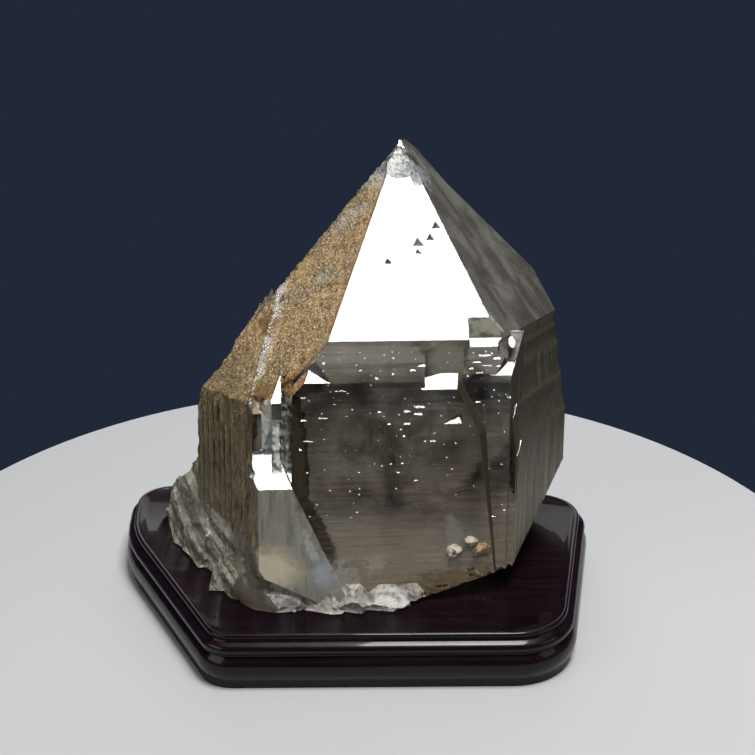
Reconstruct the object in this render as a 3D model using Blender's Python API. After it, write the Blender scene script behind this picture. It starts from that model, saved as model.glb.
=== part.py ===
"""Smoky quartz point on its moulded wooden stand.

The crystal is built the way it grew: convex growth blocks that share one set of crystal axes, each cut
from a cube by its prism walls and the rhombohedral treads above them, joined in one solid. Chips, pits
and the broken base are then taken out of it. Everything is placed from one datum, the foot of the
crystal's front face on the stand's top; an empty carries the datum so that the whole object's origin is
the middle of its underside. Tables are in millimetres, and MM turns them into Blender's metres.
"""

import math
import random
from dataclasses import dataclass

import bmesh
import bpy
from mathutils import Matrix, Vector

MM = 0.001
SEED = 7

# Crystal: where its point is from the datum, and how its long axis stands, in degrees
APEX = Vector((-5.4, 105.3, 200.0))
LEAN_BACK = 10.0
LEAN_RIGHT = 0.4
TURN = 5.6

# Crystal: slope of every tread from the long axis, and how far each prism wall is from that axis
TREAD_SLOPE = 38.2
FRONT_WALL = 69.2
RIGHT_WALL = 69.2
BACK_WALL = 36.0
LEFT_WALL = 83.0

# Stand: height, and the corners of its plan with the radius of each
STAND_HEIGHT = 26.0
STAND_CORNERS = [(-92.0, -31.5, 14.0), (70.0, -29.5, 28.0), (96.0, 100.0, 22.0),
                 (-20.0, 134.0, 90.0), (-149.0, 113.0, 18.0), (-146.0, 66.0, 70.0)]
ARC_STEP = 9.0

# Room between crystal and stand, the side of the cube that each block is cut from, and the cut's tolerance
CONTACT_GAP = 0.3
REACH = 620.0
CUT_TOLERANCE = 0.0001


@dataclass(frozen=True)
class Face:
    """A flat face: the way it looks around the axis, how far it tips up, and its distance."""

    azimuth: float
    rise: float
    distance: float

    def normal(self):
        around = math.radians(self.azimuth)
        up = math.radians(self.rise)
        return Vector((math.cos(up) * math.sin(around), -math.cos(up) * math.cos(around), math.sin(up)))

    def reversed(self):
        return Face(self.azimuth + 180.0, -self.rise, -self.distance)


def wall(azimuth, distance):
    """A prism face, parallel to the crystal's long axis."""
    return Face(azimuth, 0.0, distance)


def tread(azimuth, distance, lip):
    """The sloping face above a wall, whose lower edge is the lip's depth below the crystal's point."""
    slope = math.radians(TREAD_SLOPE)
    return Face(azimuth, TREAD_SLOPE, math.cos(slope) * distance - math.sin(slope) * lip)


def ideal_lip(distance):
    """Depth of the lip of a tread that runs up to the crystal's own point."""
    return distance / math.tan(math.radians(TREAD_SLOPE))


def ledge(azimuth, distance, lip):
    return [wall(azimuth, distance), tread(azimuth, distance, lip)]


def face_at(point, azimuth, rise):
    """The face that looks a given way and passes through a point."""
    face = Face(azimuth, rise, 0.0)
    return Face(azimuth, rise, face.normal().dot(Vector(point)))


def growth_faces(sides):
    """Faces of one growth block, from the wall distance and lip depth on each side."""
    faces = []
    for azimuth, (distance, lip) in sides.items():
        faces += ledge(azimuth, distance, lip)
    return faces


def crystal_axes():
    """The crystal's axes: turned about its length, leaned back, then leaned to the right."""
    turn = Matrix.Rotation(math.radians(TURN), 4, "Z")
    back = Matrix.Rotation(math.radians(-LEAN_BACK), 4, "X")
    right = Matrix.Rotation(math.radians(LEAN_RIGHT), 4, "Y")
    return Matrix.Translation(APEX * MM) @ right @ back @ turn


def new_collection(name):
    collection = bpy.data.collections.new(name)
    bpy.context.scene.collection.children.link(collection)
    return collection


def add_object(name, mesh, collection, parent, matrix=None):
    """Link a bmesh as a named object under the datum."""
    data = bpy.data.meshes.new(name)
    mesh.to_mesh(data)
    mesh.free()
    shape = bpy.data.objects.new(name, data)
    collection.objects.link(shape)
    shape.parent = parent
    if matrix is not None:
        shape.matrix_local = matrix
    return shape


def cut_block(faces):
    """A closed convex block: a cube cut off outside each face."""
    mesh = bmesh.new()
    bmesh.ops.create_cube(mesh, size=REACH * MM)
    for face in faces:
        geometry = mesh.verts[:] + mesh.edges[:] + mesh.faces[:]
        normal = face.normal()
        cut = bmesh.ops.bisect_plane(mesh, geom=geometry, dist=CUT_TOLERANCE * MM,
                                     plane_co=normal * face.distance * MM, plane_no=normal, clear_outer=True)
        rim = [edge for edge in cut["geom_cut"] if isinstance(edge, bmesh.types.BMEdge)]
        if rim:
            bmesh.ops.contextual_create(mesh, geom=rim)
    bmesh.ops.recalc_face_normals(mesh, faces=mesh.faces[:])
    return mesh


# The main point's sides, as azimuth: (wall distance, depth of the lip below the point)
POINT_SIDES = {
    0: (FRONT_WALL, ideal_lip(FRONT_WALL)),
    60: (RIGHT_WALL, ideal_lip(RIGHT_WALL)),
    180: (BACK_WALL, 39.0),
    -60: (LEFT_WALL, ideal_lip(LEFT_WALL)),
}

# The faces that close its two rear sides, worn off the ideal slope
REAR_RIGHT = Face(120.0, 47.0, 1.1)
REAR_LEFT = Face(-120.0, 34.5, -0.3)
POINT_REAR = [wall(120, 74.5), REAR_RIGHT, wall(-120, 66.0), REAR_LEFT]

# The crest that lengthens the point towards the rear right
CREST_LIP = ideal_lip(40.4)
CREST = [tread(0, 40.0, CREST_LIP), tread(60, 40.0, CREST_LIP), tread(-60, 40.0, CREST_LIP),
         Face(-120.0, 34.5, -0.6), tread(120, 36.0, 34.8), tread(180, 30.0, 31.5),
         wall(0, 30.0), wall(60, 40.0), wall(120, 36.0), wall(180, 24.0), wall(-120, 30.0), wall(-60, 40.0)]

# The blade that stands out of the left side, a smaller point of its own
BLADE_LIP = 119.0
BLADE_WALL = 97.5
BLADE_SIDES = {
    60: (30.0, 60.0),
    120: (40.0, 62.0),
    180: (32.0, 62.0),
    -60: (BLADE_WALL, BLADE_LIP),
}
BLADE_BAND = Face(0.0, 45.0, -40.6)
BLADE_ENDS = [wall(0, 65.0), BLADE_BAND, wall(-120, 80.0), Face(-120.0, 30.6, 3.2)]

# Small parallel crystals between the blade and the front wall, from the top down
LOW_SPUR = (75.0, 156.2)
SPURS = [
    ledge(0, 72.8, 115.8) + ledge(-60, 93.6, 114.9)
    + [Face(0.0, 50.0, -38.5), wall(90, -61.5), wall(180, -52.0)],
    ledge(0, 71.5, 148.0) + ledge(-60, 99.0, 146.0) + [wall(90, -66.0), wall(-90, 78.0), wall(180, -30.0)],
    ledge(0, *LOW_SPUR) + ledge(-60, 100.5, 152.0)
    + [Face(90.0, 24.8, -117.1), wall(-90, 77.0), wall(180, -30.0),
       face_at((-73.2, -75.0, -194.7), -60.0, -27.0), face_at((-62.0, -75.0, -204.0), -37.0, -50.0)],
]

# The break under the upper spur, which bares the low spur's tread: deep on the left, shallow on the right
SPUR_BREAKS = [
    [tread(0, *LOW_SPUR).reversed(), face_at((-70.0, -64.1, -142.4), 0.0, -25.0).reversed(),
     wall(-90, 75.0), wall(90, -66.0)],
    [tread(0, *LOW_SPUR).reversed(), face_at((-62.0, -70.0, -150.0), 0.0, -6.0).reversed(),
     wall(-90, 67.0), wall(90, -57.0)],
]

# Left flank: upright ribs across the blade's weathered wall
RIB_COUNT = 10
RIB_PITCH = 5.2
RIB_START = -36.0
RIB_WIDTH_SHARE = (0.45, 0.8)
RIB_PROUD = (0.15, 0.5)
RIB_DROP = (1.0, 15.0)
RIB_ROOT = 60.0


def rib_blocks(rng):
    """Upright fibres of the blade's weathered wall."""
    blocks = []
    for number in range(RIB_COUNT):
        start = RIB_START + RIB_PITCH * number
        width = RIB_PITCH * rng.uniform(*RIB_WIDTH_SHARE)
        proud = rng.uniform(*RIB_PROUD)
        lip = BLADE_LIP + ideal_lip(proud) + rng.uniform(*RIB_DROP)
        blocks.append(ledge(-60, BLADE_WALL + proud, lip)
                      + [wall(30, start + width), wall(-150, -start), wall(120, -RIB_ROOT)])
    return blocks


# Right flank: uneven ledges, as (wall distance, lip depth), on a wall that flares downwards
FLANK_LEDGES = [(70.8, 95.0), (72.2, 104.0), (74.6, 121.0), (77.0, 139.0)]
FLANK_INSET = 0.9
FLANK_INSET_STEP = 0.4
FLANK_CORE = 20.0
FLARE_ANGLE = 8.0
FLARE_REACH = 7.6
FLARE_REAR_SHIFT = 2.0
FLARE_INSET = 0.6


def flank_ledges():
    """Ledges of the right side, each a little further out and lower than the one above."""
    blocks = []
    for step, (distance, lip) in enumerate(FLANK_LEDGES):
        inset = FLANK_INSET + FLANK_INSET_STEP * step
        blocks.append(growth_faces({
            0: (FRONT_WALL - inset, lip + 6.0),
            60: (distance, lip),
            120: (distance + 1.8, lip - 5.0),
            180: (BACK_WALL - inset, lip - 20.0),
            -120: (FLANK_CORE, lip),
            -60: (FLANK_CORE, lip),
        }))
    return blocks


def flank_flare():
    """The right side's wall, which leans outwards as it goes down."""
    faces = ledge(0, FRONT_WALL - FLARE_INSET, 96.0) + ledge(180, BACK_WALL - FLARE_INSET, 60.0)
    faces.append(wall(-90, 0.0))
    lean = math.cos(math.radians(TREAD_SLOPE))
    for azimuth, shift in ((60, 0.0), (120, FLARE_REAR_SHIFT)):
        foot = RIGHT_WALL + shift
        lip = wall(azimuth, 0.0).normal() * foot
        lip.z = -ideal_lip(RIGHT_WALL)
        faces += [face_at(lip, azimuth, FLARE_ANGLE), wall(azimuth, foot + FLARE_REACH),
                  Face(azimuth, TREAD_SLOPE, shift * lean - FLARE_INSET)]
    return faces


# The front wall's growth plate, in two parts whose treads catch the light. Its right edge runs down in two
# slopes, from its shoulder and from its elbow. A brow leans out over it from the foot of the front tread,
# flush with it in the middle, and leaves a tread bare at each end. The last block stands in the stair at
# the right corner
PLATE_ROOT = wall(180, -55.0)
PLATE_LIP = (0.0, -74.5, -106.2)
PLATE_LEAN = -2.0
SHOULDER = (18.7, -74.4, -108.7)
ELBOW = (31.2, -73.4, -136.8)
BROW_TOP = (0.0, -FRONT_WALL, -88.4)
BROW_FOOT = (-38.6, -74.8, -106.7)
FRONT_PLATES = [
    [face_at(PLATE_LIP, 0.0, PLATE_LEAN), tread(0, 74.5, 106.2), wall(-60, 86.2), tread(-60, 86.2, 112.0),
     wall(90, 2.5), PLATE_ROOT],
    [face_at(SHOULDER, 0.0, PLATE_LEAN), tread(0, 73.9, 109.4), face_at(SHOULDER, 50.0, 20.3),
     face_at(ELBOW, 50.0, 4.5), wall(-90, 25.0), PLATE_ROOT],
    [face_at(BROW_TOP, 0.0, 16.8), wall(0, 74.6), tread(0, FRONT_WALL, 88.4), tread(-60, LEFT_WALL, 106.0),
     face_at(BROW_FOOT, -24.5, 0.0), wall(80, 17.0), face_at((0.0, -74.6, -107.6), 0.0, -45.0), PLATE_ROOT],
    [face_at(BROW_TOP, 0.0, 16.4), face_at((2.4, -71.0, -104.0), 10.3, 0.0), tread(0, FRONT_WALL, 88.5),
     wall(-90, 5.0), wall(90, 24.0), Face(0.0, -90.0, 118.0), PLATE_ROOT],
    [face_at((45.0, -70.3, -105.9), -6.0, 0.0), tread(0, 70.3, 105.9), wall(60, 74.2), wall(-90, -30.0),
     PLATE_ROOT],
]

# Plates on the back wall, lapped like tiles: azimuth, distance, lip, and its two ends across the wall
BACK_PLATES = [(174.0, 36.8, 70.0, -52.0, 18.0), (186.0, 37.4, 94.0, -8.0, 46.0),
               (176.0, 38.2, 116.0, -60.0, -4.0), (183.0, 37.6, 142.0, -30.0, 38.0)]
BACK_PLATE_ENDS = [wall(0, -20.0), Face(-120.0, 34.5, -3.0), Face(120.0, 43.1, -2.0)]


def back_plates():
    """Growth plates of the back wall."""
    plates = []
    for azimuth, distance, lip, left, right in BACK_PLATES:
        plates.append([Face(azimuth, 0.0, distance), tread(180, distance, lip), wall(-90, -left),
                       wall(90, right)] + BACK_PLATE_ENDS)
    return plates


# The stair taken out of the corner between the front and right walls: the upper step, the steep riser
# under its lip, and the lower step, which narrows to a point at its back
STAIR_LIP = (30.0, -64.9, -92.2)
CORNER_NOTCHES = [
    [wall(180, -62.0), wall(-90, -25.5), tread(0, 64.9, 92.2).reversed()],
    [wall(180, -60.0), wall(-90, -23.0), face_at(STAIR_LIP, 0.0, 20.0).reversed(), Face(0.0, 90.0, -92.0)],
    [wall(180, -62.0), wall(-148, -79.1), tread(0, 70.3, 105.9).reversed()],
]

# The frosted flare at the lower left and its toe, in the stand's own axes
FLOOR = Face(0.0, -90.0, 20.0)
BASE_BLOCKS = [
    [face_at((-97.0, 23.0, 0.0), -50.0, 12.0), face_at((-125.0, 66.0, 10.0), -70.0, 42.0),
     face_at((-130.0, 88.0, 0.0), -72.0, 6.0), face_at((-109.0, 58.0, 46.0), -62.0, 50.0),
     face_at((-90.0, 106.0, 0.0), 172.0, 14.0), face_at((-129.0, 92.0, 0.0), -122.0, 24.0),
     face_at((-84.0, 4.0, 0.0), -28.0, 22.0), wall(90, -55.0), FLOOR],
    [face_at((-123.0, 66.0, 10.0), -56.0, 50.0), face_at((-115.0, 47.0, 0.0), -44.0, 30.0),
     face_at((-129.0, 80.0, 0.0), -75.0, 20.0), face_at((-118.0, 100.0, 0.0), 168.0, 28.0),
     wall(90, -90.0), FLOOR],
]

# Rounded lobes between the flare and the front wall: centre and half sizes
LOBES = [((-63.0, 2.5, 2.0), (21.0, 14.5, 13.0)), ((-80.0, 14.0, 3.0), (13.0, 16.0, 18.0))]

# The broken underside: flat where it stands, chamfered under the right side and the back
BASE_CUTS = [
    [Face(0.0, 90.0, CONTACT_GAP)],
    [face_at((2.0, 0.0, 0.0), 42.0, -60.0).reversed()],
    [face_at((50.0, 8.0, 16.0), 77.0, -40.0).reversed()],
    [face_at((60.0, 100.0, 20.0), 150.0, -38.0).reversed()],
    [face_at((-60.0, 108.0, 7.0), -165.0, -42.0).reversed()],
]

# Broken lumps along the foot, in the stand's own axes: centre and half sizes
LUMPS = [
    ((-55.0, -1.0, 0.0), (13.0, 9.0, 11.0)),
    ((-41.0, -3.0, 0.0), (11.0, 10.0, 9.0)),
    ((-28.0, -3.0, 0.0), (11.0, 9.0, 12.0)),
    ((-13.0, -1.0, 0.0), (13.0, 9.0, 9.0)),
    ((-1.0, 2.0, 1.0), (9.0, 7.0, 9.0)),
    ((12.0, 8.0, 7.0), (10.0, 8.0, 6.0)),
    ((26.0, 10.0, 12.0), (11.0, 7.0, 6.0)),
    ((-86.0, 22.0, 2.0), (12.0, 14.0, 22.0)),
    ((-99.0, 42.0, 4.0), (11.0, 14.0, 22.0)),
    ((-107.0, 60.0, 2.0), (12.0, 14.0, 20.0)),
    ((-116.0, 80.0, 0.0), (12.0, 14.0, 14.0)),
    ((-71.0, 10.0, 0.0), (14.0, 12.0, 18.0)),
]

# Grains of feldspar in the front wall: centre in the crystal's axes and half sizes
GRAINS = [((20.2, -71.4, -189.9), (4.4, 2.6, 3.4)), ((28.1, -71.6, -185.2), (3.8, 2.4, 2.0)),
          ((33.3, -71.4, -189.7), (5.0, 2.8, 2.9))]

# A fragment's rings of faces, as (rise, face count), and how unevenly they are set
SHARD_RINGS = ((-38.0, 4), (0.0, 5), (38.0, 5))
SHARD_TURN = 0.3
SHARD_TIP = 16.0
SHARD_SHRINK = 0.78


def shard_faces(rng, half_sizes):
    """Faces of an angular fragment about its own middle."""
    faces = []
    for ring, count in SHARD_RINGS:
        for number in range(count):
            azimuth = 360.0 * (number + rng.uniform(-SHARD_TURN, SHARD_TURN)) / count
            face = Face(azimuth, ring + rng.uniform(-SHARD_TIP, SHARD_TIP), 0.0)
            size = math.hypot(*(half * part for half, part in zip(half_sizes, face.normal())))
            faces.append(Face(face.azimuth, face.rise, size * rng.uniform(SHARD_SHRINK, 1.0)))
    top = sum(half_sizes) / 3.0
    return faces + [Face(0.0, 90.0, top), Face(0.0, -90.0, top)]


def shard(rng, centre, half_sizes):
    """An angular fragment of broken quartz or feldspar."""
    mesh = cut_block(shard_faces(rng, half_sizes))
    bmesh.ops.translate(mesh, vec=Vector(centre) * MM, verts=mesh.verts)
    return mesh


# Shell-shaped chips knocked out of the point and of the stair's right end, as balls: centre and radius
CHIPS = [((-1.0, -19.5, -3.0), 17.0), ((9.0, -24.0, -9.0), 15.0), ((22.0, -26.0, -19.0), 11.5),
         ((9.0, -9.0, 8.0), 10.0), ((46.0, -69.0, -90.5), 8.4)]

# Etch pits on the front tread: middle and size of each, how deep they are, and their floor and mouth sizes
PITS = [((5.0, -37.1, -47.1), 3.0), ((11.0, -35.4, -45.0), 2.2), ((4.7, -40.1, -51.0), 1.6),
        ((-9.9, -43.4, -55.2), 2.0), ((14.4, -31.3, -39.7), 2.6)]
PIT_DEPTH = 1.2
PIT_FLOOR = 0.15
PIT_MOUTH = 2.0


def rounded(centre, half_sizes):
    """A ball, or a ball drawn out along the axes."""
    mesh = bmesh.new()
    bmesh.ops.create_icosphere(mesh, subdivisions=2, radius=MM)
    bmesh.ops.scale(mesh, vec=half_sizes, verts=mesh.verts)
    bmesh.ops.translate(mesh, vec=Vector(centre) * MM, verts=mesh.verts)
    return mesh


def etch_pit(centre, size):
    """A three-sided pit whose floor dips into the front tread."""
    mesh = bmesh.new()
    bmesh.ops.create_cone(mesh, cap_ends=True, segments=3, radius1=PIT_FLOOR * size * MM,
                          radius2=PIT_MOUTH * size * MM, depth=2.0 * PIT_DEPTH * MM)
    outward = Face(0.0, TREAD_SLOPE, 0.0).normal()
    place = Matrix.Translation(Vector(centre) * MM) @ outward.to_track_quat("Z", "Y").to_matrix().to_4x4()
    bmesh.ops.transform(mesh, matrix=place, verts=mesh.verts)
    return mesh


def combine(shape, operation, collection):
    """Join a collection's shapes to the crystal, or take them out of it."""
    modifier = shape.modifiers.new(collection.name, "BOOLEAN")
    modifier.operation = operation
    modifier.operand_type = "COLLECTION"
    modifier.collection = collection
    modifier.solver = "EXACT"


def as_guides(collection):
    for shape in collection.objects:
        shape.hide_render = True
        shape.display_type = "WIRE"


def add_growths(collection, datum, axes):
    """Everything that is joined to the main point."""
    rng = random.Random(SEED)
    blocks = [CREST, growth_faces(BLADE_SIDES) + BLADE_ENDS, flank_flare()]
    blocks += SPURS + flank_ledges() + rib_blocks(rng) + FRONT_PLATES + back_plates()
    for number, faces in enumerate(blocks):
        add_object(f"growth_{number:02d}", cut_block(faces), collection, datum, axes)
    for number, faces in enumerate(BASE_BLOCKS):
        add_object(f"flare_{number}", cut_block(faces), collection, datum)
    for number, (centre, half_sizes) in enumerate(LOBES):
        add_object(f"lobe_{number}", rounded(centre, half_sizes), collection, datum)
    for number, (centre, half_sizes) in enumerate(LUMPS):
        add_object(f"lump_{number}", shard(rng, centre, half_sizes), collection, datum)
    for number, (centre, half_sizes) in enumerate(GRAINS):
        add_object(f"grain_{number}", shard(rng, centre, half_sizes), collection, datum, axes)
    as_guides(collection)


def add_hollows(collection, datum, axes):
    """Everything that is taken out of the joined crystal."""
    for number, faces in enumerate(SPUR_BREAKS + CORNER_NOTCHES):
        add_object(f"notch_{number}", cut_block(faces), collection, datum, axes)
    for number, faces in enumerate(BASE_CUTS):
        add_object(f"base_cut_{number}", cut_block(faces), collection, datum)
    for number, (centre, radius) in enumerate(CHIPS):
        add_object(f"chip_{number}", rounded(centre, (radius, radius, radius)), collection, datum, axes)
    for number, (centre, size) in enumerate(PITS):
        add_object(f"pit_{number}", etch_pit(centre, size), collection, datum, axes)
    as_guides(collection)


def build_crystal(parts, datum):
    """The whole crystal: the main point with its growths joined and its hollows cut."""
    axes = crystal_axes()
    growths = new_collection("crystal_growths")
    hollows = new_collection("crystal_hollows")
    add_growths(growths, datum, axes)
    add_hollows(hollows, datum, axes)
    crystal = add_object("crystal", cut_block(growth_faces(POINT_SIDES) + POINT_REAR), parts, datum, axes)
    combine(crystal, "UNION", growths)
    combine(crystal, "DIFFERENCE", hollows)
    return crystal


# Stand profile from the top's middle out and down: how far past the rim, and height
STAND_PROFILE = [(-3.2, 0.0), (-2.6, 0.7), (-1.6, 1.1), (-0.5, 0.7), (0.0, -0.3), (-0.4, -1.5), (-0.8, -2.3),
                 (0.8, -2.9), (2.4, -3.8), (3.4, -5.2), (3.3, -6.8), (2.4, -8.0), (1.4, -8.9),
                 (2.2, -9.8), (3.6, -11.2), (4.6, -13.4), (4.9, -16.2), (4.5, -19.0), (3.4, -21.4),
                 (2.2, -22.8), (2.8, -24.2), (2.8, -STAND_HEIGHT)]


def offset_corner(index, offset):
    """One corner of the plan moved outwards, square to both of its sides."""
    before = Vector(STAND_CORNERS[index - 1][:2])
    here = Vector(STAND_CORNERS[index][:2])
    after = Vector(STAND_CORNERS[(index + 1) % len(STAND_CORNERS)][:2])
    arriving = (here - before).normalized()
    leaving = (after - here).normalized()
    outward = Vector((arriving.y + leaving.y, -arriving.x - leaving.x)).normalized()
    half_turn = 0.5 * arriving.angle(leaving)
    return here + outward * offset / math.cos(half_turn), arriving, half_turn


def stand_ring(offset):
    """Points of the stand's plan at one offset: an arc at each corner, always with the same count."""
    ring = []
    for index, (_, _, radius) in enumerate(STAND_CORNERS):
        corner, arriving, half_turn = offset_corner(index, offset)
        bend = radius + offset
        inward = Vector((-arriving.y, arriving.x))
        centre = corner - arriving * bend * math.tan(half_turn) + inward * bend
        steps = max(2, round(math.degrees(2.0 * half_turn) / ARC_STEP))
        for step in range(steps + 1):
            turned = Matrix.Rotation(2.0 * half_turn * step / steps, 2) @ (-inward)
            ring.append(centre + turned * bend)
    return ring


def build_stand(parts, datum):
    """The stand: rings of its rounded plan, one for each point of its moulded edge, bridged and capped."""
    mesh = bmesh.new()
    loops = []
    for offset, height in STAND_PROFILE:
        verts = [mesh.verts.new((point.x * MM, point.y * MM, height * MM)) for point in stand_ring(offset)]
        edges = [mesh.edges.new((verts[i - 1], verts[i])) for i in range(len(verts))]
        loops.append(edges)
    for upper, lower in zip(loops, loops[1:]):
        bmesh.ops.bridge_loops(mesh, edges=upper + lower)
    bmesh.ops.contextual_create(mesh, geom=loops[0])
    bmesh.ops.contextual_create(mesh, geom=loops[-1])
    bmesh.ops.recalc_face_normals(mesh, faces=mesh.faces[:])
    return add_object("stand", mesh, parts, datum)


def finish_material(shape, name, colour, roughness, transmission=0.0):
    """Give a piece its own material."""
    material = bpy.data.materials.new(name)
    material.use_nodes = True
    shader = material.node_tree.nodes["Principled BSDF"]
    shader.inputs["Base Color"].default_value = (*colour, 1.0)
    shader.inputs["Roughness"].default_value = roughness
    shader.inputs["Metallic"].default_value = 0.0
    shader.inputs["Transmission Weight"].default_value = transmission
    shape.data.materials.append(material)


def add_datum(parts):
    """The empty that puts the object's origin in the middle of the stand's underside."""
    foot = stand_ring(max(offset for offset, _ in STAND_PROFILE))
    middle_x = 0.5 * (min(point.x for point in foot) + max(point.x for point in foot))
    middle_y = 0.5 * (min(point.y for point in foot) + max(point.y for point in foot))
    datum = bpy.data.objects.new("datum", None)
    datum.location = Vector((-middle_x, -middle_y, STAND_HEIGHT)) * MM
    parts.objects.link(datum)
    return datum


def main():
    for shape in list(bpy.data.objects):
        bpy.data.objects.remove(shape)
    parts = new_collection("quartz_crystal")
    datum = add_datum(parts)
    crystal = build_crystal(parts, datum)
    stand = build_stand(parts, datum)
    finish_material(crystal, "smoky_quartz", colour=(0.30, 0.25, 0.19), roughness=0.12, transmission=0.6)
    finish_material(stand, "dark_lacquered_wood", colour=(0.018, 0.008, 0.011), roughness=0.18)


main()
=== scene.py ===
"""Looks of a smoky quartz point that stands on a moulded wooden stand.

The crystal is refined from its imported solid: growth steps are cut into its walls, its rough faces are
broken up in relief, and each kind of surface is marked for one clear material. The stand is smoothed and
lacquered. Lengths are millimetres unless a name says otherwise. The crystal's own axes are x to the right,
y to the back and z along its length, from its point.
"""

from __future__ import annotations

import logging
import math
import random
from collections.abc import Iterable, Iterator, Sequence
from contextlib import contextmanager
from dataclasses import dataclass, field
from enum import Enum
from functools import reduce

import bmesh
import bpy
import numpy as np
from mathutils import Matrix, Vector, noise

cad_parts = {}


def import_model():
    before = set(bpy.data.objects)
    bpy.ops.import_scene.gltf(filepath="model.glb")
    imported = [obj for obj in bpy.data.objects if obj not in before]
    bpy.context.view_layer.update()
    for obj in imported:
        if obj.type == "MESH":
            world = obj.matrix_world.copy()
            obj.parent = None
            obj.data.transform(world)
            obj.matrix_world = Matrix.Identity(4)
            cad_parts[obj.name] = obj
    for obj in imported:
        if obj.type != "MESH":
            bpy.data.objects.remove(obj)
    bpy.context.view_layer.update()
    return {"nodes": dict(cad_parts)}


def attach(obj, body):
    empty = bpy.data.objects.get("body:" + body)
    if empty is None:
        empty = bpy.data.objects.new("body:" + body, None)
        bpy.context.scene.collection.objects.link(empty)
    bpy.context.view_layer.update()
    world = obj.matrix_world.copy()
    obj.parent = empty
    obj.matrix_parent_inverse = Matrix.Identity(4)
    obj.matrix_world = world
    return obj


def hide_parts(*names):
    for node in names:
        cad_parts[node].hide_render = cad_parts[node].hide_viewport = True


LOG = logging.getLogger("quartz_crystal")
MM = 0.001

# A ramp is a range and the range that it is carried to
Pair = tuple[float, float]
Triple = tuple[float, float, float]
Ramp = tuple[Pair, Pair]
Socket = bpy.types.NodeSocket

UP = Vector((0.0, 0.0, 1.0))
ACROSS = Vector((1.0, 0.0, 0.0))
BACK = Vector((0.0, 1.0, 0.0))
ANYWHERE = (-math.inf, math.inf)

# Where the object is seen from, how close points are one point, and how nearly level faces are one face
VIEWPOINT = (11.45, -582.74, 370.8)
MERGE_GAP = 0.02
FLAT_ANGLE = math.radians(0.4)


def above(low: float) -> Pair:
    """The range over a number."""
    return low, math.inf


def below(high: float) -> Pair:
    """The range under a number."""
    return -math.inf, high


def face_normal(azimuth: float, rise: float = 0.0) -> Vector:
    """Outward normal of a face, in the crystal's axes.

    Args:
        azimuth: Degrees round the crystal, 0 at the front and 90 on the right.
        rise: Degrees that the face tips upwards, none for a prism wall.

    Returns:
        The unit normal.
    """
    around = math.radians(azimuth)
    up = math.radians(rise)
    return Vector((math.cos(up) * math.sin(around), -math.cos(up) * math.cos(around), math.sin(up)))


@dataclass(frozen=True)
class CrystalAxes:
    """Where the crystal's point is, how its length leans, and the slope of its treads."""

    point: Triple = (22.352, 55.059, 226.0)
    lean_back: float = 10.0
    lean_right: float = 0.4
    turn: float = 5.6
    tread_slope: float = 38.2

    def rotation(self) -> Matrix:
        """Rotation from the crystal's axes to the object's.

        Returns:
            The rotation, 3 by 3.
        """
        turn = Matrix.Rotation(math.radians(self.turn), 3, "Z")
        back = Matrix.Rotation(math.radians(-self.lean_back), 3, "X")
        right = Matrix.Rotation(math.radians(self.lean_right), 3, "Y")
        return right @ back @ turn

    def place(self, spot: Sequence[float]) -> Vector:
        """Where a spot in the crystal's axes is in the object's frame, in metres."""
        return (self.rotation() @ Vector(spot) + Vector(self.point)) * MM

    def inside(self, places: np.ndarray) -> np.ndarray:
        """Rows of places in metres in the object's frame, as rows of spots in the crystal's axes."""
        return (places / MM - np.array(self.point)) @ np.array(self.rotation())

    def spot(self, place: Vector) -> Vector:
        """One place in metres in the object's frame, as a spot in the crystal's axes."""
        return Vector(self.inside(np.array(place)))

    def turned(self, normal: Vector) -> Vector:
        """A direction in the object's frame, in the crystal's axes."""
        return self.rotation().transposed() @ normal


AXES = CrystalAxes()
FRONT = face_normal(0.0)
TREAD = face_normal(0.0, AXES.tread_slope)


class Finish(Enum):
    """Kinds of surface on the crystal."""

    GLASS = 0
    WALL = 1
    SATIN = 2
    STAINED = 3
    BARK = 4
    FIBROUS = 5
    ICY = 6
    CHIPPED = 7
    GRAIN = 8
    WEATHERED = 9
    GLITTER = 10
    MILKY = 11
    PLATED = 12
    LOBE = 13
    BROWN = 14


STRIATED = frozenset({Finish.WALL, Finish.MILKY})
FLAT = STRIATED | {Finish.GLASS, Finish.SATIN, Finish.BROWN}


def deselect() -> None:
    """Leave nothing selected."""
    bpy.ops.object.select_all(action="DESELECT")


def make_active(piece: bpy.types.Object) -> None:
    """Select one object alone.

    Args:
        piece: The object that operators then act on.
    """
    deselect()
    piece.select_set(True)
    bpy.context.view_layer.objects.active = piece


@contextmanager
def editing(piece: bpy.types.Object) -> Iterator[None]:
    """Edit mode on one piece, all of it selected at first.

    Args:
        piece: The object to edit.

    Yields:
        Nothing, while the object is being edited.
    """
    make_active(piece)
    bpy.ops.object.mode_set(mode="EDIT")
    bpy.ops.mesh.select_all(action="SELECT")
    yield
    bpy.ops.object.mode_set(mode="OBJECT")


def joined(pieces: Sequence[bpy.types.Object]) -> bpy.types.Object:
    """Make one object of several.

    Args:
        pieces: The objects.

    Returns:
        The object that holds them all.
    """
    make_active(pieces[0])
    for piece in pieces:
        piece.select_set(True)
    bpy.ops.object.join()
    return bpy.context.active_object


def copy_node(node: bpy.types.Object, name: str) -> bpy.types.Object:
    """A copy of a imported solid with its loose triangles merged.

    Args:
        node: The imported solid.
        name: Name of the copy.

    Returns:
        The new object, at the origin.
    """
    mesh = node.data.copy()
    mesh.name = name
    mesh.materials.clear()
    piece = bpy.data.objects.new(name, mesh)
    bpy.context.scene.collection.objects.link(piece)
    with editing(piece):
        bpy.ops.mesh.remove_doubles(threshold=MERGE_GAP * MM)
    return piece


@dataclass(frozen=True)
class Pattern:
    """A noise: its scale, detail, roughness and distortion, and how each axis is squeezed before it."""

    scale: float
    detail: float
    roughness: float
    distortion: float = 0.0
    squeeze: Triple | None = None


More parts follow.
